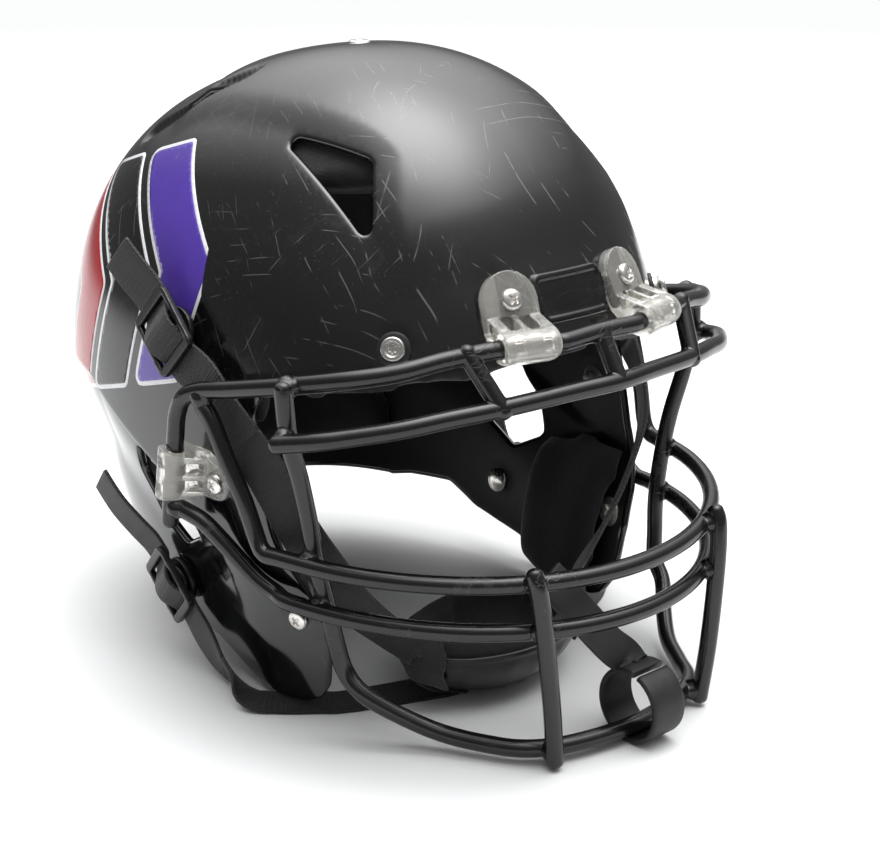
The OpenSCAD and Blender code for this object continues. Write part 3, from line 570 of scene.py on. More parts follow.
def cut_surface(surface, edge, aims, wrap, level, snap):
    """Triangles over a grid of directions, kept inside the edge and cut exactly along it."""
    rows, columns = aims.shape[:2]
    d = unit(aims.reshape(-1, 3))
    size = slope_of(surface, edge, d)[0]
    rest = edge(surface(d)) / size - level
    near = np.flatnonzero(np.abs(rest) < snap)
    moved = to_edge(surface, edge, d[near], level)
    close = np.linalg.norm(surface(moved) - surface(d[near]), axis=-1) < 2 * snap
    d[near[close]] = moved[close]
    rest[near[close]] = 0
    i, j = np.meshgrid(np.arange(rows - 1), np.arange(columns if wrap else columns - 1), indexing="ij")
    here, there = i * columns + j, i * columns + (j + 1) % columns
    triangles = np.concatenate([
        np.stack([here, here + columns, there + columns], -1).reshape(-1, 3),
        np.stack([here, there + columns, there], -1).reshape(-1, 3)])
    state = np.sign(rest)
    corner = state[triangles]
    whole = (corner >= 0).all(1) & (corner > 0).any(1)
    split = (corner < 0).any(1) & (corner > 0).any(1)
    pairs = sorted({
        (min(a, b), max(a, b))
        for t in triangles[split] for a, b in zip(t, np.roll(t, -1)) if state[a] * state[b] < 0})
    faces = triangles[whole].tolist()
    if pairs:
        low, high = np.array(pairs).T
        t = (rest[low] / (rest[low] - rest[high]))[:, None]
        cuts = unit(d[low] * (1 - t) + d[high] * t)
        moved = to_edge(surface, edge, cuts, level)
        close = np.linalg.norm(surface(moved) - surface(cuts), axis=-1) < 2 * snap
        cuts[close] = moved[close]
        place = {pair: len(d) + k for k, pair in enumerate(pairs)}
        d = np.concatenate([d, cuts])
        for t in triangles[split]:
            ring = []
            for a, b in zip(t.tolist(), np.roll(t, -1).tolist()):
                if state[a] >= 0:
                    ring.append(a)
                if state[a] * state[b] < 0:
                    ring.append(place[(min(a, b), max(a, b))])
            for k in range(1, len(ring) - 1):
                faces.append([ring[0], ring[k], ring[k + 1]])
    faces = np.array(faces)
    used, index = np.unique(faces, return_inverse=True)
    return d[used], index.reshape(-1, 3)


def open_loops(faces):
    """The borders of a surface, each as a row of points in its faces' own order."""
    ways = {}
    for f in faces.tolist():
        for a, b in zip(f, f[1:] + f[:1]):
            ways[(a, b)] = True
    follow = {a: b for a, b in ways if (b, a) not in ways}
    loops = []
    while follow:
        first, here = follow.popitem()
        loop = [first, here]
        while here in follow:
            here = follow.pop(here)
            loop.append(here)
        loops.append(loop[:-1] if loop[0] == loop[-1] else loop)
    return [loop for loop in loops if len(loop) > 5]


def settle(name, points, faces, material, body, slot, shift=SHIFT):
    """A finished piece, smooth shaded, riding on its body."""
    piece = form(name, np.asarray(points) + shift, faces, material)
    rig.ride(piece, body)
    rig.slot(piece, slot)
    return piece


def together(parts):
    """Several (points, faces) as one."""
    points, faces, count = [], [], 0
    for some, more in parts:
        points.append(some)
        faces += [tuple(int(k) + count for k in f) for f in more]
        count += len(some)
    return np.concatenate(points), faces


def left_too(points, faces):
    """The same piece on the wearer's right and mirrored on the left."""
    points = np.asarray(points)
    return together([(points, faces), (points * [-1, 1, 1], [tuple(f)[::-1] for f in faces])])


def shell_mesh(wall):
    """Points and faces of the shell, and which faces are its matt inside. The grid of directions
    closes up towards the ledge, so that its crisp step falls between two rows."""
    turn = np.arange(0, 360, 1.0)
    crown_rows, step_rows, wall_rows = 84, 9, 38
    step_drop, lowest_drop, near_pole = 6, 99, 89.97

    def at_drop(drop):
        """Degrees up, at each turn, of the line that lies so far below the ledge."""
        a, b = np.full(len(turn), -80.0), np.full(len(turn), 60.0)
        for _ in range(18):
            m = (a + b) / 2
            p = bare(aim(turn, m))
            short = ledge_height(p[:, 1]) - p[:, 2] < drop
            a, b = np.where(short, a, m), np.where(short, m, b)
        return (a + b) / 2

    ledge = at_drop(0)
    rises = [near_pole - (near_pole - ledge) * k / crown_rows for k in range(crown_rows)]
    drops = np.concatenate([np.linspace(0, step_drop, step_rows),
                            step_drop + (lowest_drop - step_drop) * np.linspace(0, 1, wall_rows)[1:]])
    aims = np.stack([aim(turn, e) for e in rises + [at_drop(drop) for drop in drops]])
    d, faces = cut_surface(skin, kept, aims, True, wall / 2, 0.8)
    outside, out = skin(d), facing(d)
    points = [outside, outside - out * wall]
    faces = [faces[:, ::-1], faces + len(d)]
    matt = len(faces[0]) + np.arange(len(faces[1]))
    count = 2 * len(d)
    for loop in open_loops(faces[0]):
        loop = np.array(loop)
        way, n = slope_of(skin, kept, d[loop])[1], out[loop]
        m = unit(-way + n * (way * n).sum(-1, keepdims=True))
        rings = [loop]
        for turn_by in np.radians([30, 60, 90, 120, 150]):
            points.append(outside[loop] - n * wall / 2
                          + wall / 2 * (n * math.cos(turn_by) + m * math.sin(turn_by)))
            rings.append(count + np.arange(len(loop)))
            count += len(loop)
        rings.append(loop + len(d))
        for a, b in zip(rings, rings[1:]):
            quads = np.stack([np.roll(a, -1), a, b, np.roll(b, -1)], -1)
            faces += [quads[:, [0, 1, 2]], quads[:, [0, 2, 3]]]
    return np.concatenate(points), np.concatenate(faces)[:, ::-1], matt


def scratched(place, sweeps):
    """Fine broken arcs, each sweep swung round a far centre with its own spacing, none where the
    surface faces that centre and an arc would spread into a blot."""
    lines = None
    normal = place.node("NewGeometry", out=1)
    wide, broken = 0.00034, (0.56, 0.64)
    for centre, gap, sway, patch in sweeps:
        away = place.node("VectorMath", {0: place, 1: centre}, out=1, operation="DISTANCE")
        way = place.node("VectorMath", {0: place, 1: centre}, operation="SUBTRACT")
        way = place.node("VectorMath", {0: way}, operation="NORMALIZE")
        faced = abs(place.node("VectorMath", {0: way, 1: normal}, out=1, operation="DOT_PRODUCT"))
        sweep = place.maths("FRACT", away * (1 / gap) + place.noise(sway, 2) * 2.4)
        line = abs(sweep - 0.5).step(wide / gap, 0)
        some = line * place.noise(patch, 3, 0.6).step(*broken) * faced.step(0.93, 0.80)
        lines = some if lines is None else lines.most(some)
    return lines


def shell_look(place):
    """Polished black, scratched and scuffed most on the front, with dust in patches."""
    y, z = (place.node("SeparateXYZ", {0: place}, out=k) for k in (1, 2))
    worn = place.noise(9, 3).step(0.42, 0.72)
    front = (0.02 - y).step(0, 0.09) * z.step(0.13, 0.2)
    scratches = scratched(place, (
        ((-0.30, -0.15, -0.12), 0.0070, 12, 34), ((0.04, -0.42, -0.08), 0.0090, 9, 27),
        ((-0.12, 0.38, -0.10), 0.0085, 14, 40), ((0.36, -0.12, -0.06), 0.0110, 10, 25),
        ((-0.36, 0.20, -0.05), 0.0065, 16, 50)))
    scratches = scratches * (front * 0.72 + 0.28)
    dust = place.noise(900, 1).step(0.70, 0.74) * worn
    scuff = place.noise(60, 4, 0.6).step(0.56, 0.75) * worn * front
    wiped = place.scaled(1, 0.2, 1).noise(70, 4, 0.6)
    marks = scratches * 0.7 + dust * 0.25 + scuff * 0.08
    colour = marks.mix((0.0042, 0.0044, 0.005), (0.16, 0.16, 0.165))
    roughness = 0.085 + worn * 0.04 + wiped * 0.05 + scratches * 0.3 + scuff * 0.2
    ripple = place.noise(110, 2) * 0.35 + place.noise(38, 1) * 0.8 - scratches * 0.8
    return colour, roughness, ripple


shell_gloss = finish("black_polycarbonate", shell_look, bump_mm=0.05, strength=0.35, IOR=1.66)
points, faces, matt = shell_mesh(shell_wall)
shell = settle("helmet_shell", points, faces, shell_gloss, "helmet", "shell")
inside_black = finish("moulded_inside", lambda place: (
    place.noise(50, 4).step(0.4, 0.8).mix((0.003, 0.003, 0.0033), (0.007, 0.007, 0.0075)),
    0.5 + place.noise(30, 2) * 0.15, place.noise(500, 2)), bump_mm=0.08)
shell.data.materials.append(inside_black)
shell.data.polygons.foreach_set("material_index", np.isin(np.arange(len(faces)), matt).astype(int))
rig.replaces(shell, "shell")


# Side decals: die-cut glossy vinyl, three chevrons each side in purple, black and red with a
# white edge, pressed over the curve of the shell and scuffed with it.
chevron_tilt, chevron_at = -16, (-6, 190)


def chevron(nose):
    """Outline of one chevron seen from the side, its nose forward."""
    outline = np.array([(0, 0), (30, 52), (62, 52), (32, 0), (57.4, -44), (25.4, -44)], float) + [nose, 0]
    turn = math.radians(chevron_tilt)
    spin = np.array([[math.cos(turn), math.sin(turn)], [-math.sin(turn), math.cos(turn)]])
    return rounded(outline @ spin + chevron_at, 3, 4)


def vinyl(name, outline, level, lift, material):
    """A sheet of vinyl over the shell, level millimetres inside an outline seen from the side."""
    fine = 0.8
    a, e = np.meshgrid(np.arange(-166, -76, fine), np.arange(0, 74, fine))

    def inside(p):
        return to_outline(p[:, 1:], outline)

    d, faces = cut_surface(skin, inside, aim(a, e), False, level, 0.5)
    out, faces = facing(d), faces[:, ::-1]
    rim = np.array(open_loops(faces)[0])
    points = np.concatenate([skin(d) + out * lift, skin(d[rim]) - out[rim] * 0.05])
    low = len(d) + np.arange(len(rim))
    skirt = np.stack([np.roll(rim, -1), rim, low, np.roll(low, -1)], -1)
    faces = [tuple(f) for f in faces] + [tuple(f) for f in skirt]
    return settle(name, *left_too(points, faces), material, "helmet", "shell")


def vinyl_look(colour, dark):
    """The look of one shade of vinyl, clouded towards a darker one and rubbed grey."""
    def look(place):
        worn = place.noise(90, 5, 0.65).step(0.60, 0.78)
        scratch = scratched(place, (((-0.3, -0.2, 0.0), 0.009, 11, 30),
                                    ((0.1, 0.4, -0.1), 0.012, 9, 24)))
        shade = place.noise(14, 2).step(0.3, 0.8).mix(colour, dark)
        rubbed = (worn * 0.12 + scratch * 0.35).mix(shade, (0.30, 0.29, 0.30))
        return rubbed, 0.15 + worn * 0.2, worn * 0.4 - scratch * 0.5
    return look


shades = {"purple": ((0.085, 0.042, 0.36), (0.065, 0.030, 0.28)),
          "red": ((0.36, 0.012, 0.018), (0.28, 0.008, 0.012)),
          "black": ((0.005, 0.005, 0.006), (0.004, 0.004, 0.005)),
          "white": ((0.74, 0.74, 0.76), (0.62, 0.62, 0.64))}
vinyls = {name: finish(name + "_vinyl", vinyl_look(*pair), bump_mm=0.03, strength=0.5)
          for name, pair in shades.items()}
white_edge, edge_lift, colour_lift = 1.9, 0.06, 0.12
for nose, shade in ((-2, "purple"), (40, "black"), (82, "red")):
    vinyl(f"decal_edge_{shade}", chevron(nose), -white_edge, edge_lift, vinyls["white"])
    vinyl(f"decal_{shade}", chevron(nose), 0.0, colour_lift, vinyls[shade])


# Face guard: round steel wire bent, welded where it crosses and dipped in black plastic.
# The coating fills the corners at each weld and is scuffed in patches.
wire_r = 3.7
guard_half, guard_reach, mouth_y, mouth_z, mouth_drop = 113.5, 119.0, -40.0, 80.0, 20.0
chin_reach, chin_z = 157.5, 6.9
brow_bar_at, side_bar_at = np.array([35.5, -127.4, 169.5]), np.array([124, -9.7, 105.5])
brow_bar_way = np.array([math.cos(math.radians(15)), math.sin(math.radians(15)), 0])
side_bar_way = unit(np.array([0.0, 5, -27]))


def through(points, steps):
    """A smooth row of points through the given ones, steps of them to each span."""
    points = np.asarray(points, float)
    padded = np.concatenate([points[:1], points, points[-1:]])
    a, b, c, d = (padded[k:len(padded) - 3 + k, None] for k in range(4))
    t = (np.arange(steps) / steps)[None, :, None]
    row = 0.5 * (2 * b + (c - a) * t + (2 * a - 5 * b + 4 * c - d) * t ** 2
                 + (3 * b - a - 3 * c + d) * t ** 3)
    return np.concatenate([row.reshape(-1, points.shape[1]), points[-1:]])


def mirrored(half):
    """A row of points from the middle outward, with its mirror image before it."""
    half = np.asarray(half, float)
    return np.concatenate([half[:0:-1] * [-1, 1, 1], half])


def carried(points):
    """Tangents of a row of points, and two sides carried along it without twist."""
    way = unit(np.gradient(points, axis=0))
    level = [0, 0, 1] if abs(way[0][2]) < 0.9 else [0, 1, 0]
    side = unit(np.cross(way[0], np.cross(level, way[0])))
    sides = [side]
    for a, b in zip(way, way[1:]):
        turn = np.cross(a, b)
        side = side + np.cross(turn, side) + np.cross(turn, np.cross(turn, side)) / (1 + a @ b)
        side = unit(side - b * (side @ b))
        sides.append(side)
    sides = np.array(sides)
    return way, sides, np.cross(way, sides)


def skin_faces(rings, across):
    """Quads over rows of rings, closed across, wound outward, with both ends capped."""
    faces = [(i * across + j, i * across + (j + 1) % across,
              (i + 1) * across + (j + 1) % across, (i + 1) * across + j)
             for i in range(rings - 1) for j in range(across)]
    return faces + [tuple(range(across))[::-1], tuple(range((rings - 1) * across, rings * across))]


def tube(points, r, sides=24):
    """A round wire along points with domed ends."""
    points = np.asarray(points, float)
    way, u, v = carried(points)
    rows = [(p, a, b, r) for p, a, b in zip(points, u, v)]
    dome = np.radians([18, 36, 54, 70, 84])
    start, end = ([(points[k] + way[k] * sense * r * 0.8 * math.sin(t), u[k], v[k], r * math.cos(t))
                   for t in dome] for k, sense in ((0, -1), (-1, 1)))
    rows = start[::-1] + rows + end
    turn = np.arange(sides) * 2 * math.pi / sides
    rings = [p + s * (np.cos(turn)[:, None] * a + np.sin(turn)[:, None] * b) for p, a, b, s in rows]
    return np.concatenate(rings), skin_faces(len(rings), sides)


def mouth_bar(half, long, z, rise):
    """Half of an oval bar round the mouth, from its middle towards the jaw."""
    a = np.radians(np.arange(0, 79, 13))
    high = z + rise * smooth(np.degrees(a) / 80)
    return np.stack([half * np.sin(a), mouth_y - long * np.cos(a), high], -1)


def on_bar(at, way, steps):
    """Points of the straight stretch that a clip holds."""
    return [at + way * k for k in steps]


guard = {
    "brow_ring": mirrored([[0, -132, 170], *on_bar(brow_bar_at, brow_bar_way, (-18, -12.5, 12.5, 18)),
                           [69, -116, 167.5], [86, -108.5, 164.3], [102, -94, 161], [111.5, -71, 155.5],
                           [117, -46, 149.5], [121, -28, 145.5], [123.4, -19.5, 141], [124, -15, 133],
                           *on_bar(side_bar_at, side_bar_way, (-18, -13, 13, 18, 22))]),
    "eye_bar": mirrored([[0, -143, 152], [22, -140, 151.5], [53, -133, 149.5], [76, -123.5, 147],
                         [91, -115.5, 144.5], [106, -103, 141.5], [114.6, -94, 139.5], [121.6, -80, 136.5]]),
    "upper_mouth_bar": mirrored([*mouth_bar(guard_half, guard_reach, mouth_z, 2), [113, -57.5, 82.5],
                                 [113.4, -53, 88], [115.5, -48, 103], [118.2, -41, 119], [120, -34, 134],
                                 [121, -29.8, 139.4]]),
    "lower_mouth_bar": mirrored([*mouth_bar(guard_half - 4.5, guard_reach + 2, mouth_z - mouth_drop, 1.5),
                                 [106.5, -55, 62.5], [109, -46, 66.5], [112.5, -37.5, 74],
                                 [116, -30, 81.5], [119, -22.5, 87.5], [121.9, -13.3, 90.5]]),
    "chin_wire": mirrored([[0, -chin_reach, chin_z], [30, -chin_reach + 4.5, chin_z], [48, -144, chin_z],
                           [58, -130, chin_z], [68, -114, chin_z + 2], [79, -101, 15.5], [89, -90.5, 24],
                           [92, -82.5, 32], [94.5, -79.5, 45], [96.8, -77.3, 61], [101.2, -76, 81],
                           [105, -77, 100], [110.5, -79, 120], [115, -79, 136], [116, -78, 152],
                           [116, -77.5, 157]])}
upright = np.array([[-52.5, -151, 86], [-52.3, -153.4, 80], [-50.3, -155.2, 62], [-46.5, -156, 30],
                    [-43.2, -155, 4.2]])
posts = np.array([[[0, -132, 170], [0, -143, 152]], [[-60, -120.2, 168.7], [-54, -132.8, 149.5]]])


def coating_look(place):
    """Satin black dip, rubbed grey in patches and nicked."""
    grime = place.noise(24, 4, 0.6)
    rubbed = place.noise(75, 5, 0.62).step(0.57, 0.74) * place.noise(11, 2).step(0.42, 0.62)
    nicks = abs(place.scaled(1, 1, 2.2).noise(150, 1, 0.5, 0.5) - 0.5).step(0.012, 0.0)
    nicks = nicks * place.noise(31, 1).step(0.55, 0.66)
    colour = (rubbed * 0.34 + nicks * 0.5).mix((0.0045, 0.0045, 0.005), (0.09, 0.09, 0.093))
    roughness = 0.17 + grime * 0.12 + rubbed * 0.22
    return colour, roughness, place.noise(420, 2) * 0.3 + place.noise(60, 2) * 0.6 - nicks * 0.6


coating = finish("dipped_black_plastic", coating_look, bump_mm=0.16, strength=0.6, IOR=1.5)
wires = [(name, through(points, 6)) for name, points in guard.items()]
for side, some in ((1, posts), (-1, posts[1:])):
    wires.append(("mouth_uprights", through(upright * np.array([side, 1, 1]), 6)))
    wires += [("brow_posts", through(ends * np.array([side, 1, 1]), 8)) for ends in some]
for name in dict(wires):
    tubes = [tube(path, wire_r) for which, path in wires if which == name]
    piece = settle("guard_" + name, *together(tubes), coating, "helmet", "cage")
    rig.replaces(piece, name)


def worked(blank):
    """Points in millimetres and faces of a blank as its modifiers leave it; the blank goes."""
    made = blank.evaluated_get(bpy.context.evaluated_depsgraph_get()).to_mesh()
    flat = np.empty(len(made.vertices) * 3)
    made.vertices.foreach_get("co", flat)
    faces = [tuple(f.vertices) for f in made.polygons]
    bpy.data.objects.remove(blank)
    return flat.reshape(-1, 3) / MM, faces


def reformed(points, faces, voxel, rounds, cuts=None):
    """The outer skin of overlapping closed forms, cut, remeshed at voxel millimetres and smoothed."""
    blank, cutter = form("blank", points, faces), form("cutter", *(cuts or ([], [])))
    if cuts:
        cutting = blank.modifiers.new("cutting", "BOOLEAN")
        cutting.object, cutting.operation, cutting.solver = cutter, "DIFFERENCE", "EXACT"
    fused = blank.modifiers.new("fused", "REMESH")
    fused.mode, fused.voxel_size = "VOXEL", voxel * MM
    rubbed = blank.modifiers.new("rubbed", "SMOOTH")
    rubbed.factor, rubbed.iterations = 0.5, rounds
    made = worked(blank)
    bpy.data.objects.remove(cutter)
    return made


def crossing_blanks():
    """Short lengths of both wires at each weld, with a bead along and across between them."""
    found = []
    touching, apart, reach, sunk = 8.2, 14, 10, 0.06
    bead_r, bead_half = 3.3, 2.2
    for i, (_, one) in enumerate(wires):
        for _, other in wires[i + 1:]:
            gap = np.linalg.norm(one[:, None] - other[None], axis=-1)
            for k in np.argsort(gap.min(1)):
                if gap[k].min() > touching:
                    break
                if all(np.linalg.norm(one[k] - spot) > apart for spot, *_ in found):
                    found.append((one[k], one, k, other, gap[k].argmin()))
    for _, one, k, other, j in found:
        for path, at in ((one, k), (other, j)):
            far = np.abs(np.r_[0, np.cumsum(np.linalg.norm(np.diff(path, axis=0), axis=1))]
                         - np.linalg.norm(np.diff(path[:at + 1], axis=0), axis=1).sum())
            near = path[far < reach]
            if len(near) > 1:
                yield tube(near, wire_r - sunk, 16)
        middle, tie = (one[k] + other[j]) / 2, unit(other[j] - one[k])
        way = unit(one[min(k + 1, len(one) - 1)] - one[max(k - 1, 0)])
        for along in (unit(np.cross(tie, way)), way):
            yield tube([middle + along * k for k in (-bead_half, -1, 1, bead_half)], bead_r, 16)


welds = reformed(*together(list(crossing_blanks())), voxel=0.6, rounds=9)
settle("guard_welds", *welds, coating, "helmet", "cage")


# Clips: clear polycarbonate moulded as a tab under a screw and a loop sprung round the wire.
# They are yellowed a little, with moulded pockets between screw and loop.
clip_t = 5.0


def seat_frame(middle, out, toward):
    """Origin, +X towards the far point, +Y and outward +Z at a seat."""
    x = unit(toward - middle - out * (out @ (toward - middle)))
    return np.array([middle, x, np.cross(out, x), out])


def put(place, points):
    """Points in a seat's own frame carried to where it lies."""
    return place[0] + np.asarray(points, float) @ place[1:]


def block(low, high):
    """A plain cutter between two corners."""
    x, y, z = zip(low, high)
    points = np.array([(a, b, c) for a in x for b in y for c in z], float)
    return points, [(0, 1, 3, 2), (4, 6, 7, 5), (0, 4, 5, 1), (2, 3, 7, 6), (0, 2, 6, 4), (1, 5, 7, 3)]


def cad_mesh(name):
    """A CAD node's own points in millimetres and its faces."""
    mesh = nodes[name].data
    flat = np.empty(len(mesh.vertices) * 3)
    mesh.vertices.foreach_get("co", flat)
    points = flat.reshape(-1, 3) @ np.array(nodes[name].matrix_world.to_3x3()).T
    points = (points + np.array(nodes[name].matrix_world.translation)) / MM
    keys, index = np.unique(np.round(points, 3), axis=0, return_inverse=True)
    index = index.ravel()
    faces = [tuple(index[v] for v in f.vertices) for f in mesh.polygons]
    return keys, [f for f in faces if len(set(f)) == len(f)]


def squared(seat, way):
    """A seat turned to face square to the wire that its clip holds."""
    middle, out = seat
    return middle, unit(out - way * (out @ way))


bar_right = brow_bar_at * [-1, 1, 1]
bar_way = brow_bar_way * [1, -1, 1]
middle, out, _ = seats["brow"]
middle, out = squared((middle + bar_way * (bar_way @ (bar_right - middle)), out), bar_way)
brow_frame = seat_frame(middle - out * seat_cut, out, bar_right)
middle, out = squared(seats["side"][:2], side_bar_way)
middle = middle - out * seat_cut
side_right = side_bar_at * [-1, 1, 1]
side_loop = side_right + side_bar_way * (side_bar_way @ (middle - side_right))
side_frame = seat_frame(middle, out, side_loop)
loops = {"brow": (brow_frame, bar_right), "side": (side_frame, side_loop)}


def clip_look(place):
    """Clear plastic, yellowed in clouds, with dirt in its pores and fine flow lines."""
    cloud = place.noise(55, 3, 0.6)
    dirt = place.noise(210, 4, 0.6).step(0.56, 0.78)
    flow = abs(place.scaled(1, 1, 2).noise(90, 2, 0.5, 1.2) - 0.5).step(0.02, 0.0)
    colour = (dirt * 0.45 + cloud.step(0.55, 0.9) * 0.25).mix((0.97, 0.955, 0.90), (0.60, 0.57, 0.46))
    return colour, 0.04 + dirt * 0.22, cloud * 0.7 + flow * 0.4 + place.noise(400, 1) * 0.2


clear = finish("clear_yellowed_plastic", clip_look, bump_mm=0.25, strength=0.5,
               Transmission_Weight=0.84, IOR=1.47)
pocket_from, pocket_half, rib_half, pocket_deep, above = 6.6, 6.6, 1.3, 1.6, 30
for kind, (place, centre) in loops.items():
    u, n = (centre - place[0]) @ place[1], (centre - place[0]) @ place[3]
    cutters = [block((pocket_from, low, clip_t - pocket_deep), (u - 6.2, high, above))
               for low, high in ((rib_half, pocket_half), (-pocket_half, -rib_half))]
    cutters += [block((u - 1.6, low, n + wire_r + 1.5), (u + 3.4, low + 4.2, n + above))
                for low in (-8.2, 4.0)]
    cutters = [(put(place, p) + SHIFT, f) for p, f in cutters]
    for side in ("right", "left"):
        name = f"{kind}_clip_{side}"
        flip = np.array([-1 if side == "left" else 1, 1, 1])
        cuts = [(p * flip, f if side == "right" else [t[::-1] for t in f]) for p, f in cutters]
        clip = reformed(*cad_mesh(name), voxel=0.45, rounds=5, cuts=together(cuts))
        piece = settle("clear_" + name, *clip, clear, "helmet", "clip", shift=0)
        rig.replaces(piece, name)


# Screws: nickel-plated steel with a cross recess, through clip and shell into flanged nuts.
# The jaw screws hold no clip and sit straight on the shell.
screw_r = 2.4
seat_deep = shell_wall - seat_cut - 0.3


def turned(profile, sides=64, dent=None):
    """A form turned from radii and heights, its first point on the axis, pressed in by dent."""
    turn = np.arange(sides) * 2 * math.pi / sides
    points, faces = [[0, 0, profile[0][1]]], []
    for r, h in profile[1:]:
        points += [[r * math.cos(a), r * math.sin(a), h] for a in turn]
    points = np.array(points)
    if dent:
        points[:, 2] -= dent(points[:, 0], points[:, 1]) * (points[:, 2] > profile[0][1] - 1.5)
    for j in range(sides):
        faces.append((0, 1 + j, 1 + (j + 1) % sides))
    for i in range(len(profile) - 2):
        a, b = 1 + i * sides, 1 + (i + 1) * sides
        faces += [(a + j, b + j, b + (j + 1) % sides, a + (j + 1) % sides) for j in range(sides)]
    base = 1 + (len(profile) - 2) * sides
    return points, faces + [tuple(base + j for j in range(sides))[::-1]]


def cross(x, y):
    """How deep a cross recess is pressed at a place on the head."""
    u, v = (x + y) / math.sqrt(2), (x - y) / math.sqrt(2)
    arm_l, arm_half, deep = 2.3, 0.62, 1.25
    arms = [smooth((arm_l - np.abs(a)) / 0.5) * smooth((arm_half - np.abs(b)) / 0.25)
            for a, b in ((u, v), (v, u))]
    return deep * np.maximum(*arms)


def screw(grip):
    """A screw whose head stands so far above its seat and whose end comes through its nut."""
    end = -grip - seat_deep - 4.0
    rim = [(4.2, 1.5), (4.45, 0.95), (4.6, 0.45), (4.6, 0.02), (screw_r, 0.0),
           (screw_r, end + 0.4), (2.0, end)]
    head = [(r, 2.5 - 0.75 * (r / 4.2) ** 3) for r in np.linspace(0, 3.9, 20)]
    points, faces = turned(head + rim, 72, cross)
    return points + [0, 0, grip], faces


def nut():
    """A hexagon on a flange, under the shell."""
    flange = turned([(0, -0.02), (6.9, -0.02), (7, -0.2), (7, -1.3), (6.8, -1.58), (0.5, -1.6)], 48)
    hexagon = turned([(0, -1.6), (4.2, -1.6), (4.2, -4.2), (3.9, -4.6), (0.5, -4.6)], 6)
    points, faces = together([flange, hexagon])
    return points - [0, 0, seat_deep], faces


def metal_look(place):
    """Bright plate with brown tarnish in its pores."""
    tarnish = place.noise(160, 4, 0.6)
    fine = place.noise(900, 2)
    colour = (tarnish.step(0.5, 0.8) * 0.8).mix((0.72, 0.70, 0.67), (0.30, 0.28, 0.25))
    return colour, 0.2 + tarnish.step(0.4, 0.8) * 0.25, fine * 0.6 + tarnish * 0.4


nickel = finish("plated_steel", metal_look, bump_mm=0.05, strength=0.5, Metallic=1.0)
zinc = finish("zinc_nut", lambda place: (
    place.noise(120, 4).step(0.4, 0.7).mix((0.42, 0.41, 0.38), (0.26, 0.25, 0.23)),
    0.38 + place.noise(300, 2) * 0.15, place.noise(700, 2)), bump_mm=0.06, Metallic=0.9)


def seated(name):
    """The frame at the bottom of a seat, its +X down the shell."""
    middle, out, _ = seats[name]
    return seat_frame(middle - out * seat_cut, out, np.array([0, 0, -400.0]))


screwed = [(brow_frame, clip_t), (side_frame, clip_t), (seated("jaw"), 0.0)]
for name, made, material, which in (
        ("clip_screws", screw, nickel, screwed[:2]), ("jaw_screws", screw, nickel, screwed[2:]),
        ("clip_nuts", None, zinc, screwed[:2]), ("jaw_nuts", None, zinc, screwed[2:])):
    blanks = [(made(grip) if made else nut(), place) for place, grip in which]
    parts = [left_too(put(place, points), faces) for (points, faces), place in blanks]
    piece = settle("plated_" + name, *together(parts), material, "helmet", "screw" if made else "nut")
    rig.replaces(piece, name)


# Snap studs: plated brass riveted through the shell over a dark washer, with a star recess. The
# pair at the temples is bare, and the other two pairs carry the strap buckles.
washer_r, washer_h, stud_r, stud_h = 6.8, 1.6, 4.8, 5.0


def star(x, y):
    """The turned-in middle of a stud and the star pressed into it."""
    r, a = np.hypot(x, y), np.arctan2(y, x)
    dish_r, star_r, points, deep = 3.15, 1.55, 6, 1.1
    tips = star_r + 0.32 * np.cos(points * a)
    return deep * smooth((dish_r - r) / 0.35) + deep * smooth((tips - r) / 0.25)


top = washer_h + stud_h
stud = turned([(r, top) for r in np.linspace(0, 4.1, 24)] + [
    (4.45, top - 0.1), (4.7, top - 0.4), (stud_r, top - 0.9), (stud_r, top - 2.1), (4.3, top - 2.9),
    (4.25, washer_h + 0.8), (4.8, washer_h + 0.3), (4.8, washer_h), (2.4, washer_h), (2.4, -seat_deep),
    (6, -seat_deep), (6, -seat_deep - 1.9), (5.6, -seat_deep - 2.6), (0.5, -seat_deep - 2.6)], 72, star)
washer_low = [(2.5, 0.02), (washer_r - 0.1, 0.02), (washer_r, 0.3), (washer_r, washer_h - 0.5),
              (washer_r - 0.5, washer_h - 0.03), (2.5, washer_h - 0.03)]


def ring(profile, sides=64):
    """A closed ring turned from a closed profile."""
    turn = np.arange(sides) * 2 * math.pi / sides
    points = np.array([[r * math.cos(a), r * math.sin(a), h] for r, h in profile for a in turn])
    n = len(profile)
    return points, [(i * sides + j, i * sides + (j + 1) % sides, (i + 1) % n * sides + (j + 1) % sides,
                     (i + 1) % n * sides + j) for i in range(n) for j in range(sides)]


snap_frames = {name: seated(name) for name in ("temple", "upper", "lower")}
rubber = finish("dark_rubber", lambda place: (
    place.noise(70, 4, 0.6).step(0.35, 0.75).mix((0.003, 0.003, 0.0034), (0.008, 0.008, 0.009)),
    0.46 + place.noise(45, 3) * 0.18, place.noise(260, 3)), bump_mm=0.12)
for name, which in (("temple_studs", ["temple"]), ("strap_studs", ["upper", "lower"])):
    parts = [left_too(put(snap_frames[k], stud[0]), stud[1]) for k in which]
    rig.replaces(settle("plated_" + name, *together(parts), nickel, "helmet", "stud"), name)
points, faces = ring(washer_low)
parts = [left_too(put(place, points), faces) for place in snap_frames.values()]
washers = settle("rubber_stud_washers", *together(parts), rubber, "helmet", "washer")
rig.replaces(washers, "stud_washers")


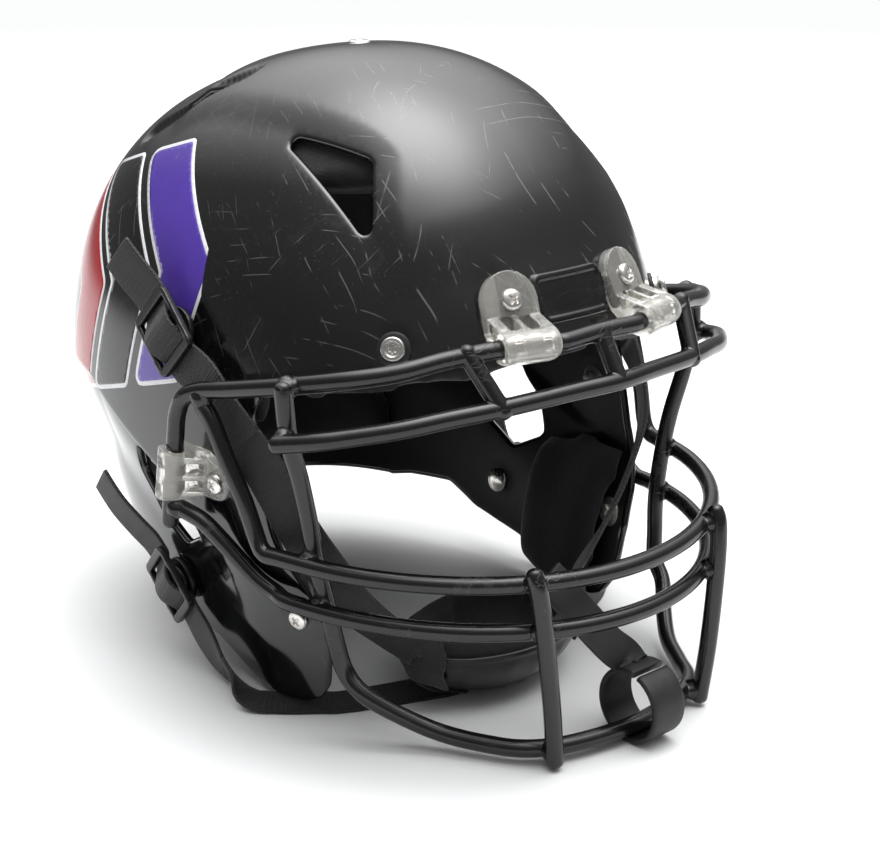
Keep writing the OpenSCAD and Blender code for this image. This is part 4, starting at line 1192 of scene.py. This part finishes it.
# Crown plug: a plated steel rivet with a dished head, pressed into the top of the crown panel
# and spread out against the inside of the shell.
crown_at = bare(np.array([[0, 0, 1.0]]))[0]
points, faces = turned([
    (0, 3.1), (0.8, 3.1), (1.4, 3.15), (1.8, 3.4), (2.4, 3.42), (4.1, 3.36), (4.6, 3.1), (4.95, 2.6),
    (5.0, 2.2), (2.5, 2.2), (2.5, -4), (0.5, -4)], 48)
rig.replaces(settle("crown_plug", points + crown_at, faces, nickel, "helmet", "valve"), "crown_valve")


# Front plate: a glossy black moulding seated on the brow between the forehead clips. It follows
# the curve of the shell, and its rim stands up round a bare recess.
plate_t, plate_gap, plate_z, plate_half_w, plate_half_h = 2.6, 0.15, 181.5, 17.6, 9.5
corner_x, corner_z, corner_r = 14.5, 5.3, 4.2


def on_shell(x, z, lift):
    """Points at x and z on the bare front of the shell, lifted outward."""
    low, high = np.full(x.shape, -160.0), np.full(x.shape, 19.0)
    for _ in range(26):
        m = (low + high) / 2
        v = np.stack([x, m, z], -1) - MIDDLE
        beyond = np.linalg.norm(v, axis=-1) > np.linalg.norm(bare(unit(v)) - MIDDLE, axis=-1)
        low, high = np.where(beyond, m, low), np.where(beyond, high, m)
    d = unit(np.stack([x, (low + high) / 2, z], -1) - MIDDLE)
    return outer(d) + facing(d) * np.asarray(lift)[..., None]


def two_sheets(over, under):
    """Points and faces of a grid of points, a second one under it and the rim between them."""
    rows, columns = over.shape[:2]
    count = rows * columns
    at = np.arange(count).reshape(rows, columns)
    faces = []
    for i, j in np.ndindex(rows - 1, columns - 1):
        quad = (at[i, j + 1], at[i + 1, j + 1], at[i + 1, j], at[i, j])
        faces += [quad, tuple(k + count for k in quad[::-1])]
    rim = [*at[0], *at[1:, -1], *at[-1, -2::-1], *at[-2:0:-1, 0]]
    faces += [(b + count, b, a, a + count) for a, b in zip(rim, rim[1:] + rim[:1])]
    return np.concatenate([over.reshape(-1, 3), under.reshape(-1, 3)]), faces


def plate_mesh():
    """The plate, wider above than below, its points closest together along its edges."""
    close = [np.sin(np.linspace(-1, 1, count) * math.pi / 2) for count in (61, 41)]
    u, v = np.meshgrid(*close)
    z = plate_z + plate_half_h * v
    x = u * (plate_half_w + 2.2 * (z - 172) / 19)
    beyond_x, beyond_z = np.abs(x) - corner_x, np.abs(z - plate_z) - corner_z
    edge = np.minimum((1 - np.abs(u)) * (plate_half_w + 1.1), (1 - np.abs(v)) * plate_half_h)
    corner = corner_r - np.hypot(np.maximum(0, beyond_x), np.maximum(0, beyond_z))
    edge = np.minimum(edge, np.where((beyond_x > 0) & (beyond_z > 0), corner, 99))
    high = plate_t - 0.9 * (1 - np.clip(edge / 0.9, 0, 1)) ** 2 - 0.75 * smooth((edge - 2.3) / 0.7)
    high = high - 0.6 * smooth(-edge / 0.6)
    return two_sheets(on_shell(x, z, high), on_shell(x, z, np.full(x.shape, plate_gap)))


def plate_look(place):
    """Glossy black, smeared, with a few fine scratches across it."""
    fine = abs(place.scaled(0.4, 1, 1.6).noise(130, 1, 0.5, 0.6) - 0.5).step(0.01, 0)
    colour = place.noise(40, 3).step(0.5, 0.8).mix((0.0032, 0.0032, 0.0036), (0.008, 0.008, 0.009))
    return colour, 0.16 + place.noise(90, 4).step(0.5, 0.75) * 0.2, place.noise(200, 2) * 0.5 + fine


plate_gloss = finish("glossy_black_moulding", plate_look, bump_mm=0.05, strength=0.5)
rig.replaces(settle("brow_plate", *plate_mesh(), plate_gloss, "helmet", "plate"), "front_plate")


# Snap buckles: black nylon, a round cap that presses onto the stud with a ladder frame on it.
# The moulding is satin, with soft edges; each turns on its own stud.
cap_top, buckle_l = 8.2, 31.0
nylon = finish("black_nylon", lambda place: (
    place.noise(120, 4, 0.6).step(0.5, 0.8).mix((0.0035, 0.0035, 0.004), (0.014, 0.014, 0.015)),
    0.27 + place.noise(60, 3) * 0.14, place.noise(650, 2) * 0.6 + place.noise(110, 2) * 0.5),
    bump_mm=0.07, strength=0.6, IOR=1.5)
for name in (f"{kind}_buckle_{side}" for kind in ("upper", "lower") for side in ("right", "left")):
    buckle = reformed(*cad_mesh(name), voxel=0.45, rounds=4)
    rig.replaces(settle("nylon_" + name, *buckle, nylon, name, "buckle", shift=0), name)


# Straps: black webbing laced through each buckle, its cut tail free behind and its other end
# sewn to the chin cup. Each hangs in two lengths so that buckle and cup can both move it.
strap_w, strap_t = 19.0, 1.8
strap_seat = {}
for kind, way in (("upper", (0, -65, -54)), ("lower", (0, -62, -66))):
    middle, out, _ = seats[kind]
    origin = middle - out * seat_cut
    strap_seat[kind] = seat_frame(origin, out, origin + np.array(way))
over_bar, under_end = cap_top + 3.35 + strap_t / 2, cap_top - 0.45 - strap_t / 2
slot_end = buckle_l / 2 - 4
laced = [(-slot_end - 4.4, under_end), (-slot_end, under_end + 0.1), (-slot_end / 2 - 1, cap_top + 1.8),
         (-2.6, over_bar), (2.6, over_bar), (slot_end / 2 + 1, cap_top + 1.8), (slot_end, under_end + 0.1),
         (slot_end + 4.4, under_end)]
cup_at, cup_size = np.array([-8.0, -78, 28]), np.array([46, 32, 27.9])


def on_cup(middle, e, a, lift=strap_t / 2 + 0.6):
    """A point over the chin cup at height angle e and side angle a, and the way it faces."""
    e, a = np.radians(e), np.radians(a)
    d = np.stack([np.cos(e) * np.cos(a), np.cos(e) * np.sin(a), np.sin(e) + 0 * a], -1)
    out = unit(d / cup_size)
    return middle + d * cup_size + out * lift, out


def strap_line(kind, cup, move):
    """Points of a strap from tail to cup, which way its outer face looks at each, and how many are
    held in the buckle. Its run down to the cup moves across with the cup, the more the nearer."""
    place = strap_seat[kind]
    move = np.array([move, 0, 0])
    if kind == "upper":
        tail = [(-43, 13), (-32, 10.5), (-23, 7.8)]
        run = [((-114.8, -22, 147.5), 0, (-1, -0.05, 0.12)), ((-113.4, -32, 137.5), 0, (-1, -0.1, 0.1)),
               ((-110.6, -43, 125.5), 0, (-1, -0.3, 0.1)),
               ((-106.8, -55.5, 110.5), 0, (-0.9, -0.55, 0.1)),
               ((-101, -64.5, 91.5), 0.1, (-0.85, -0.6, 0)), ((-91, -70, 72.5), 0.4, (-0.8, -0.6, 0)),
               ((-79.5, -73, 54.5), 0.7, (-0.75, -0.6, -0.1)), ((-63, -77, 38), 1, (-0.75, -0.5, -0.3))]
        ends = [(6, 195), (-12, 193), (-30, 191)]
    else:
        tail = [(-58, 14), (-44, 13), (-31, 10), (-22, 7.4)]
        run = [((-101.4, 7, 19.8), 0, (-1, 0, -0.16)), ((-102, -2, 14.4), 0, (-1, 0, -0.25)),
               ((-102.6, -11, 10.7), 0, (-0.95, 0, -0.45)), ((-101.7, -20, 7.7), 0, (-0.75, 0, -0.75)),
               ((-101.2, -29, 2.6), 0, (-0.12, 0, -1)), ((-92, -38, 1), 0, (0, 0, -1)),
               ((-80, -48, 1), 0.4, (0, 0, -1)), ((-68, -56, 1), 0.8, (0, 0, -1))]
        ends = [(-66, 155), (-46, 158), (-28, 160)]
    held = [put(place, (u, 0, n)) for u, n in tail + laced]
    points = held + [np.array(p) + move * k for p, k, _ in run]
    faces = [place[3]] * len(held) + [np.array(f, float) for *_, f in run]
    for e, a in ends:
        p, out = on_cup(cup, e, a)
        points.append(p + ([0, 0, 0.6] if e == -66 else 0))
        faces.append(out)
    return np.array(points), np.array(faces), len(held)


def band(points, faces, w, t, start=0.0):
    """A flat strap with rounded edges, and its distance across and along at each point."""
    way = unit(np.gradient(points, axis=0))
    out = unit(faces - way * (faces * way).sum(-1, keepdims=True))
    side = np.cross(out, way)
    r = t * 0.42
    turn = np.radians([0, 30, 60, 90])
    corner = [(w / 2 - r + r * math.cos(a), t / 2 - r + r * math.sin(a)) for a in turn]
    half = [*corner, (w / 4, t / 2), (0, t / 2), (-w / 4, t / 2), *((-x, y) for x, y in corner[::-1])]
    loop = np.array(half + [(-x, -y) for x, y in half])
    rings = points[:, None] + loop[None, :, :1] * side[:, None] + loop[None, :, 1:] * out[:, None]
    along = start + np.r_[0, np.cumsum(np.linalg.norm(np.diff(points, axis=0), axis=1))]
    uv = np.stack(np.broadcast_arrays(loop[None, :, 0], along[:, None]), -1)
    return rings.reshape(-1, 3), skin_faces(len(points), len(loop)), uv.reshape(-1, 2)


def woven(piece, uv):
    """Gives a piece the distance across and along at each of its points as its UV map."""
    layer = piece.data.uv_layers.new(name="weave")
    index = np.empty(len(piece.data.loops), int)
    piece.data.loops.foreach_get("vertex_index", index)
    layer.data.foreach_set("uv", (uv[index] / 10).ravel())


def webbing_look(place):
    """Black weave with a rib every 1.2 mm along, wavering warp, a folded edge and fuzz. The UV map
    holds centimetres across and along."""
    flat = place.node("TexCoord", out=2)
    across, along = (place.node("SeparateXYZ", {0: flat}, out=k) for k in (0, 1))
    rib = place.maths("SINE", along * 52.4)
    warp = place.maths("SINE", across * 62.8 + place.maths("SINE", along * 26.2) * 1.2)
    edge = abs(across).step(0.83, 0.87) * abs(across).step(0.95, 0.90)
    fuzz = place.noise(260, 5, 0.65)
    worn = place.noise(18, 3).step(0.45, 0.75)
    colour = (fuzz.step(0.4, 0.8) * 0.5 + worn * 0.3 + warp * 0.06).mix(
        (0.0038, 0.0038, 0.0042), (0.017, 0.017, 0.018))
    return colour, 0.48 + fuzz * 0.2, rib * 0.35 + warp * 0.45 + edge * 0.5 + fuzz * 0.3


webbing = finish("black_webbing", webbing_look, bump_mm=0.22, strength=0.8,
                 Sheen_Weight=0.15, Sheen_Roughness=0.4)
for kind in ("upper", "lower"):
    for side, flip in (("right", 1), ("left", -1)):
        cup = cup_at * [flip, 1, 1]
        points, looks, held = strap_line(kind, cup, cup[0] - cup_at[0])
        split, last, steps = held + 2, held + 7, 5
        name = f"{kind}_strap_{side}"
        fine = through(np.concatenate([points, looks], 1), steps)
        lengths = (("buckle", slice(0, split * steps + 1), 0, f"{kind}_buckle_{side}", "helmet",
                    points[held - 1], points[split]),
                   ("cup", slice(split * steps, None), 96, "helmet", "chin_cup",
                    points[split], points[last]))
        for which, part, along, a, b, start, end in lengths:
            p, f, uv = band(fine[part, :3], fine[part, 3:], strap_w, strap_t, along)
            piece = form(f"{name}_{which}_length", p * [flip, 1, 1] + SHIFT,
                         [t[::flip] for t in f], webbing)
            woven(piece, uv)
            ends = [(e * [flip, 1, 1] + SHIFT) * MM for e in (start, end)]
            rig.blend(piece, a, b, *ends)
            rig.slot(piece, "webbing")
            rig.replaces(piece, name)


# Mouthguard tether: one moulded rubber strap looped round the chin wire, its tongue standing up
# behind the bars. A raised keeper edge runs round the outside of its loop.
loop_r, tether_t, loop_w, tether_w = 13.6, 2.8, 18.0, 17.0
loop_at = np.array([4, -chin_reach, loop_r + tether_t + 0.2])
turn = np.radians(100 - np.arange(0, 71) * 5.0)
radial = np.stack([0 * turn, np.cos(turn), np.sin(turn)], -1)
loop = band(loop_at + (loop_r + tether_t / 2) * radial, radial, loop_w, tether_t)
keeper = band(loop_at + (loop_r + tether_t + 0.1) * radial[4:13], radial[4:13], 2.2, 1.0)
tongue = through([loop_at + [0, 5, loop_r + tether_t / 2 - 0.6], (3, -148.5, 33.5),
                  (-4, -146.5, 40), (-12, -143.5, 50), (-20, -138, 62), (-26, -131, 72)], 10)
tongue = band(tongue, np.array([[0, -0.9, 0.45]] * len(tongue)), tether_w, tether_t)
points, faces = together([loop[:2], tongue[:2]])
tether = settle("rubber_tether", points, faces, rubber, "tether", "tether")
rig.replaces(tether, "mouthguard_tether")
settle("tether_keeper", *keeper[:2], rubber, "tether", "tether")


# Chin cup: a hard black shell with moulded ribs and a rolled rim, with a soft liner sewn from
# knit over foam, its lip standing over the rim.
def bowl(depth, low, high, rows, across, lift=None):
    """Rings of a bowl at a depth below the cup's outside, from its bottom up."""
    e = np.radians(np.linspace(low, high, rows))[:, None]
    a = np.radians(np.arange(across) * 360 / across)[None]
    size = cup_size[:, None, None] - depth
    points = np.stack([size[0] * np.cos(e) * np.cos(a), size[1] * np.cos(e) * np.sin(a),
                       size[2] * np.sin(e) + 0 * a], -1)
    if lift is not None:
        out = unit(points / cup_size ** 2)
        points = points + out * lift(e, a)[..., None]
    return points + cup_at


def cup_ribs(e, a):
    """Height of the three ribs in front, the two strap slots beside them and the lip."""
    def beside(at, wide):
        return smooth(1 - np.abs((np.degrees(a) - at + 180) % 360 - 180) / wide)

    ribs = sum(beside(at, 5) for at in (250, 270, 290))
    slots = sum(beside(at, 7) for at in (215, 325))
    belt = smooth((np.degrees(e) + 60) / 8) * smooth((-8 - np.degrees(e)) / 8)
    return -0.7 + 0.7 * ribs * belt - 0.72 * slots * belt + 0.7 * smooth((np.degrees(e) + 7) / 4)


def rolled(over, under, shares, high, tilt=0.0):
    """Points and faces of one bowl, a second one inside it and a rolled rim between them."""
    rim = [over[-1] * (1 - t) + under[0] * t + [0, 0, high * math.sin(math.pi * t) + tilt * t]
           for t in shares]
    rings = [*over, *rim, *under]
    return np.concatenate(rings), skin_faces(len(rings), len(rings[0]))


around, cup_wall, cup_bottom, cup_rim = 96, 2.6, -88, -1.5
points, faces = rolled(bowl(0, cup_bottom, cup_rim, 44, around, cup_ribs),
                       bowl(cup_wall, cup_rim, cup_bottom, 22, around), (0.15, 0.5, 0.85), 1.3)
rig.replaces(settle("hard_chin_cup", points, faces, nylon, "chin_cup", "cup"), "chin_cup")


def knit_look(place):
    """Dull black knit: small cells under a worn pile."""
    cells = place.node("TexVoronoi", {"Vector": place, "Scale": 900})
    pile = place.noise(300, 4, 0.6)
    worn = place.noise(30, 3).step(0.45, 0.75)
    colour = (pile.step(0.4, 0.8) * 0.6 + worn * 0.3).mix((0.0032, 0.0032, 0.0036), (0.012, 0.012, 0.013))
    return colour, 0.8 + pile * 0.12, cells * 0.8 + pile * 0.4


knit = finish("black_knit", knit_look, bump_mm=0.25, strength=0.8, Sheen_Weight=0.2)


def liner_seams(e, a):
    """How far the liner's inside is drawn down along the six seams that meet at its bottom."""
    swell = np.abs(np.sin(3 * a + math.pi / 2)) ** 0.35 * smooth((np.degrees(e) + 80) / 25)
    return 1.4 - 1.4 * swell


liner_gap, liner_wall = 0.2, 6.4
points, faces = rolled(
    bowl(cup_wall + liner_gap, cup_bottom, -3, 26, around),
    bowl(cup_wall + liner_gap + liner_wall, 4, cup_bottom, 26, around, liner_seams),
    (0.1, 0.3, 0.5, 0.7, 0.9), 4.2, 1.2)
liner = settle("knit_chin_liner", points, faces, knit, "chin_cup", "liner")
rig.padded(liner, 0.8)
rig.replaces(liner, "chin_pad")


# Lining: foam pads covered in black knit and pressed into the shell. Each swells between its
# seams and sewn channels, and stands a little off the shell's inside.
pad_gap, pad_clear = 1.2, 0.7


def pad_blank(low_a, high_a, low, high, thick, rows=15, columns=27):
    """A closed pad between two turns in degrees, its lower and upper edges given by degrees up at
    even steps along it, bulging inward from the shell."""
    u, v = np.meshgrid(np.linspace(-1, 1, columns), np.linspace(-1, 1, rows))
    t = (u + 1) / 2
    a = low_a + (high_a - low_a) * t
    e0, e1 = (np.interp(t, np.linspace(0, 1, len(k)), k) for k in (low, high))
    e = e0 + (e1 - e0) * (v + 1) / 2
    mid_a, mid_e = (low_a + high_a) / 2, (e0 + e1) / 2
    swell = np.sqrt(np.clip(1 - np.abs(u) ** 5, 0, 1) * np.clip(1 - np.abs(v) ** 5, 0, 1))
    d = unit(aim(a, e))
    against = outer(d) - facing(d) * (shell_wall + pad_gap)
    d = unit(aim(mid_a + (a - mid_a) * 0.96, mid_e + (e - mid_e) * 0.95))
    depth = shell_wall + 1.6 + (thick - 3) * (0.45 + 0.55 * swell)
    return two_sheets(against, outer(d) - facing(d) * depth[..., None])


def crown_blank(thick):
    """A closed round pad under the crown, thinner towards its border."""
    a = np.arange(0, 360, 6.0)
    against, inward = [], []
    for up, share in ((88, 1), (82, 1), (75, 1), (68, 1), (61, 1), (55, 0.88), (51, 0.5)):
        d = unit(aim(a, np.full(len(a), float(up))))
        against.append(outer(d) - facing(d) * (shell_wall + pad_gap))
        inward.append(outer(d) - facing(d) * (shell_wall + 1.4 + (thick - 3) * share))
    rings = against + inward[::-1]
    return np.concatenate(rings), skin_faces(len(rings), len(a))


# Each pad's blank, and at how many degrees round its sewn channels run
pads = {
    "brow_pad": (*pad_blank(-52, 52, (17, 19, 20.5, 19, 17), (38, 41, 42, 41, 38), 15), (-26, 0, 26)),
    "back_pad": (*pad_blank(129, 231, (5, 4, 4, 4, 5), (44, 46, 46, 46, 44), 20), (154, 180, 206)),
    "nape_pad": (*pad_blank(130, 230, (-26, -29, -30, -29, -26), (-2, -1, -1, -1, -2), 15), (164, 196)),
    "side_pad_left": (*pad_blank(58, 122, (12, 4, 1, 0), (40, 44, 44, 42), 15), (90,)),
    "jaw_pad_left": (*pad_blank(53.5, 79, (-44, -45, -43), (-12, -12, -16), 16), ()),
    "crown_pad": (*crown_blank(20), (30, 90, 150, 210, 270, 330))}


def puffed(points, faces, most=3.5):
    """A blank remeshed and blown up as cloth under pressure, no point by more than most mm."""
    points, faces = reformed(points, faces, voxel=4.5, rounds=2)
    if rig.quick():
        return points, faces
    pad = form("pad", points, faces)
    frames = 20
    cloth = pad.modifiers.new("cloth", "CLOTH")
    cloth.settings.use_pressure = True
    cloth.settings.uniform_pressure_force = 4
    cloth.settings.effector_weights.gravity = 0
    cloth.point_cache.frame_end = frames
    for at in range(1, frames + 1):
        bpy.context.scene.frame_set(at)
    move = worked(pad)[0] - points
    bpy.context.scene.frame_set(1)
    far = np.linalg.norm(move, axis=1, keepdims=True)
    return points + move * np.minimum(1, most / np.maximum(far, 1e-9)), faces


def subdivided(points, faces):
    """The same form with each face in four."""
    pad = form("pad", points, faces)
    pad.modifiers.new("finer", "SUBSURF").levels = 1
    return worked(pad)


def quilted(points, channels):
    """Pad points kept off the shell and pressed in along sewn channels, at degrees round."""
    d = unit(points - MIDDLE)
    out = facing(d)
    depth = ((outer(d) - points) * out).sum(-1)
    points = points - out * np.maximum(0, shell_wall + pad_clear - depth)[:, None]
    depth = np.maximum(depth, shell_wall + pad_clear)
    round_at = np.degrees(np.arctan2(d[:, 0], -d[:, 1])) % 360
    inner_share = smooth((depth - shell_wall - 4) / 4)
    radius = np.cos(np.arcsin(np.clip(d[:, 2], -1, 1))) * 110
    for at in channels:
        off = np.radians((round_at - at + 180) % 360 - 180) * radius
        press = 3.2 * np.exp(-(off / 2.4) ** 2) + 1.2 * np.exp(-(off / 7) ** 2)
        points = points + out * (press * inner_share)[:, None]
    return points


for name, (points, faces, channels) in pads.items():
    points, faces = subdivided(*puffed(points, faces))
    points = quilted(points, channels)
    forms = [(name, points, faces)]
    if name.endswith("left"):
        forms.append((name.replace("left", "right"), points * [-1, 1, 1], [f[::-1] for f in faces]))
    for which, p, f in forms:
        pad = settle("lining_" + which, p, f, knit, "helmet", "pad")
        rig.padded(pad, 0.9)
        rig.replaces(pad, which)

with open("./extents.json", "w") as sizes:
    json.dump({"cad": [list(map(float, c)) for c in cad_box],
               "visual": [list(map(float, c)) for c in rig.bounds()]}, sizes)
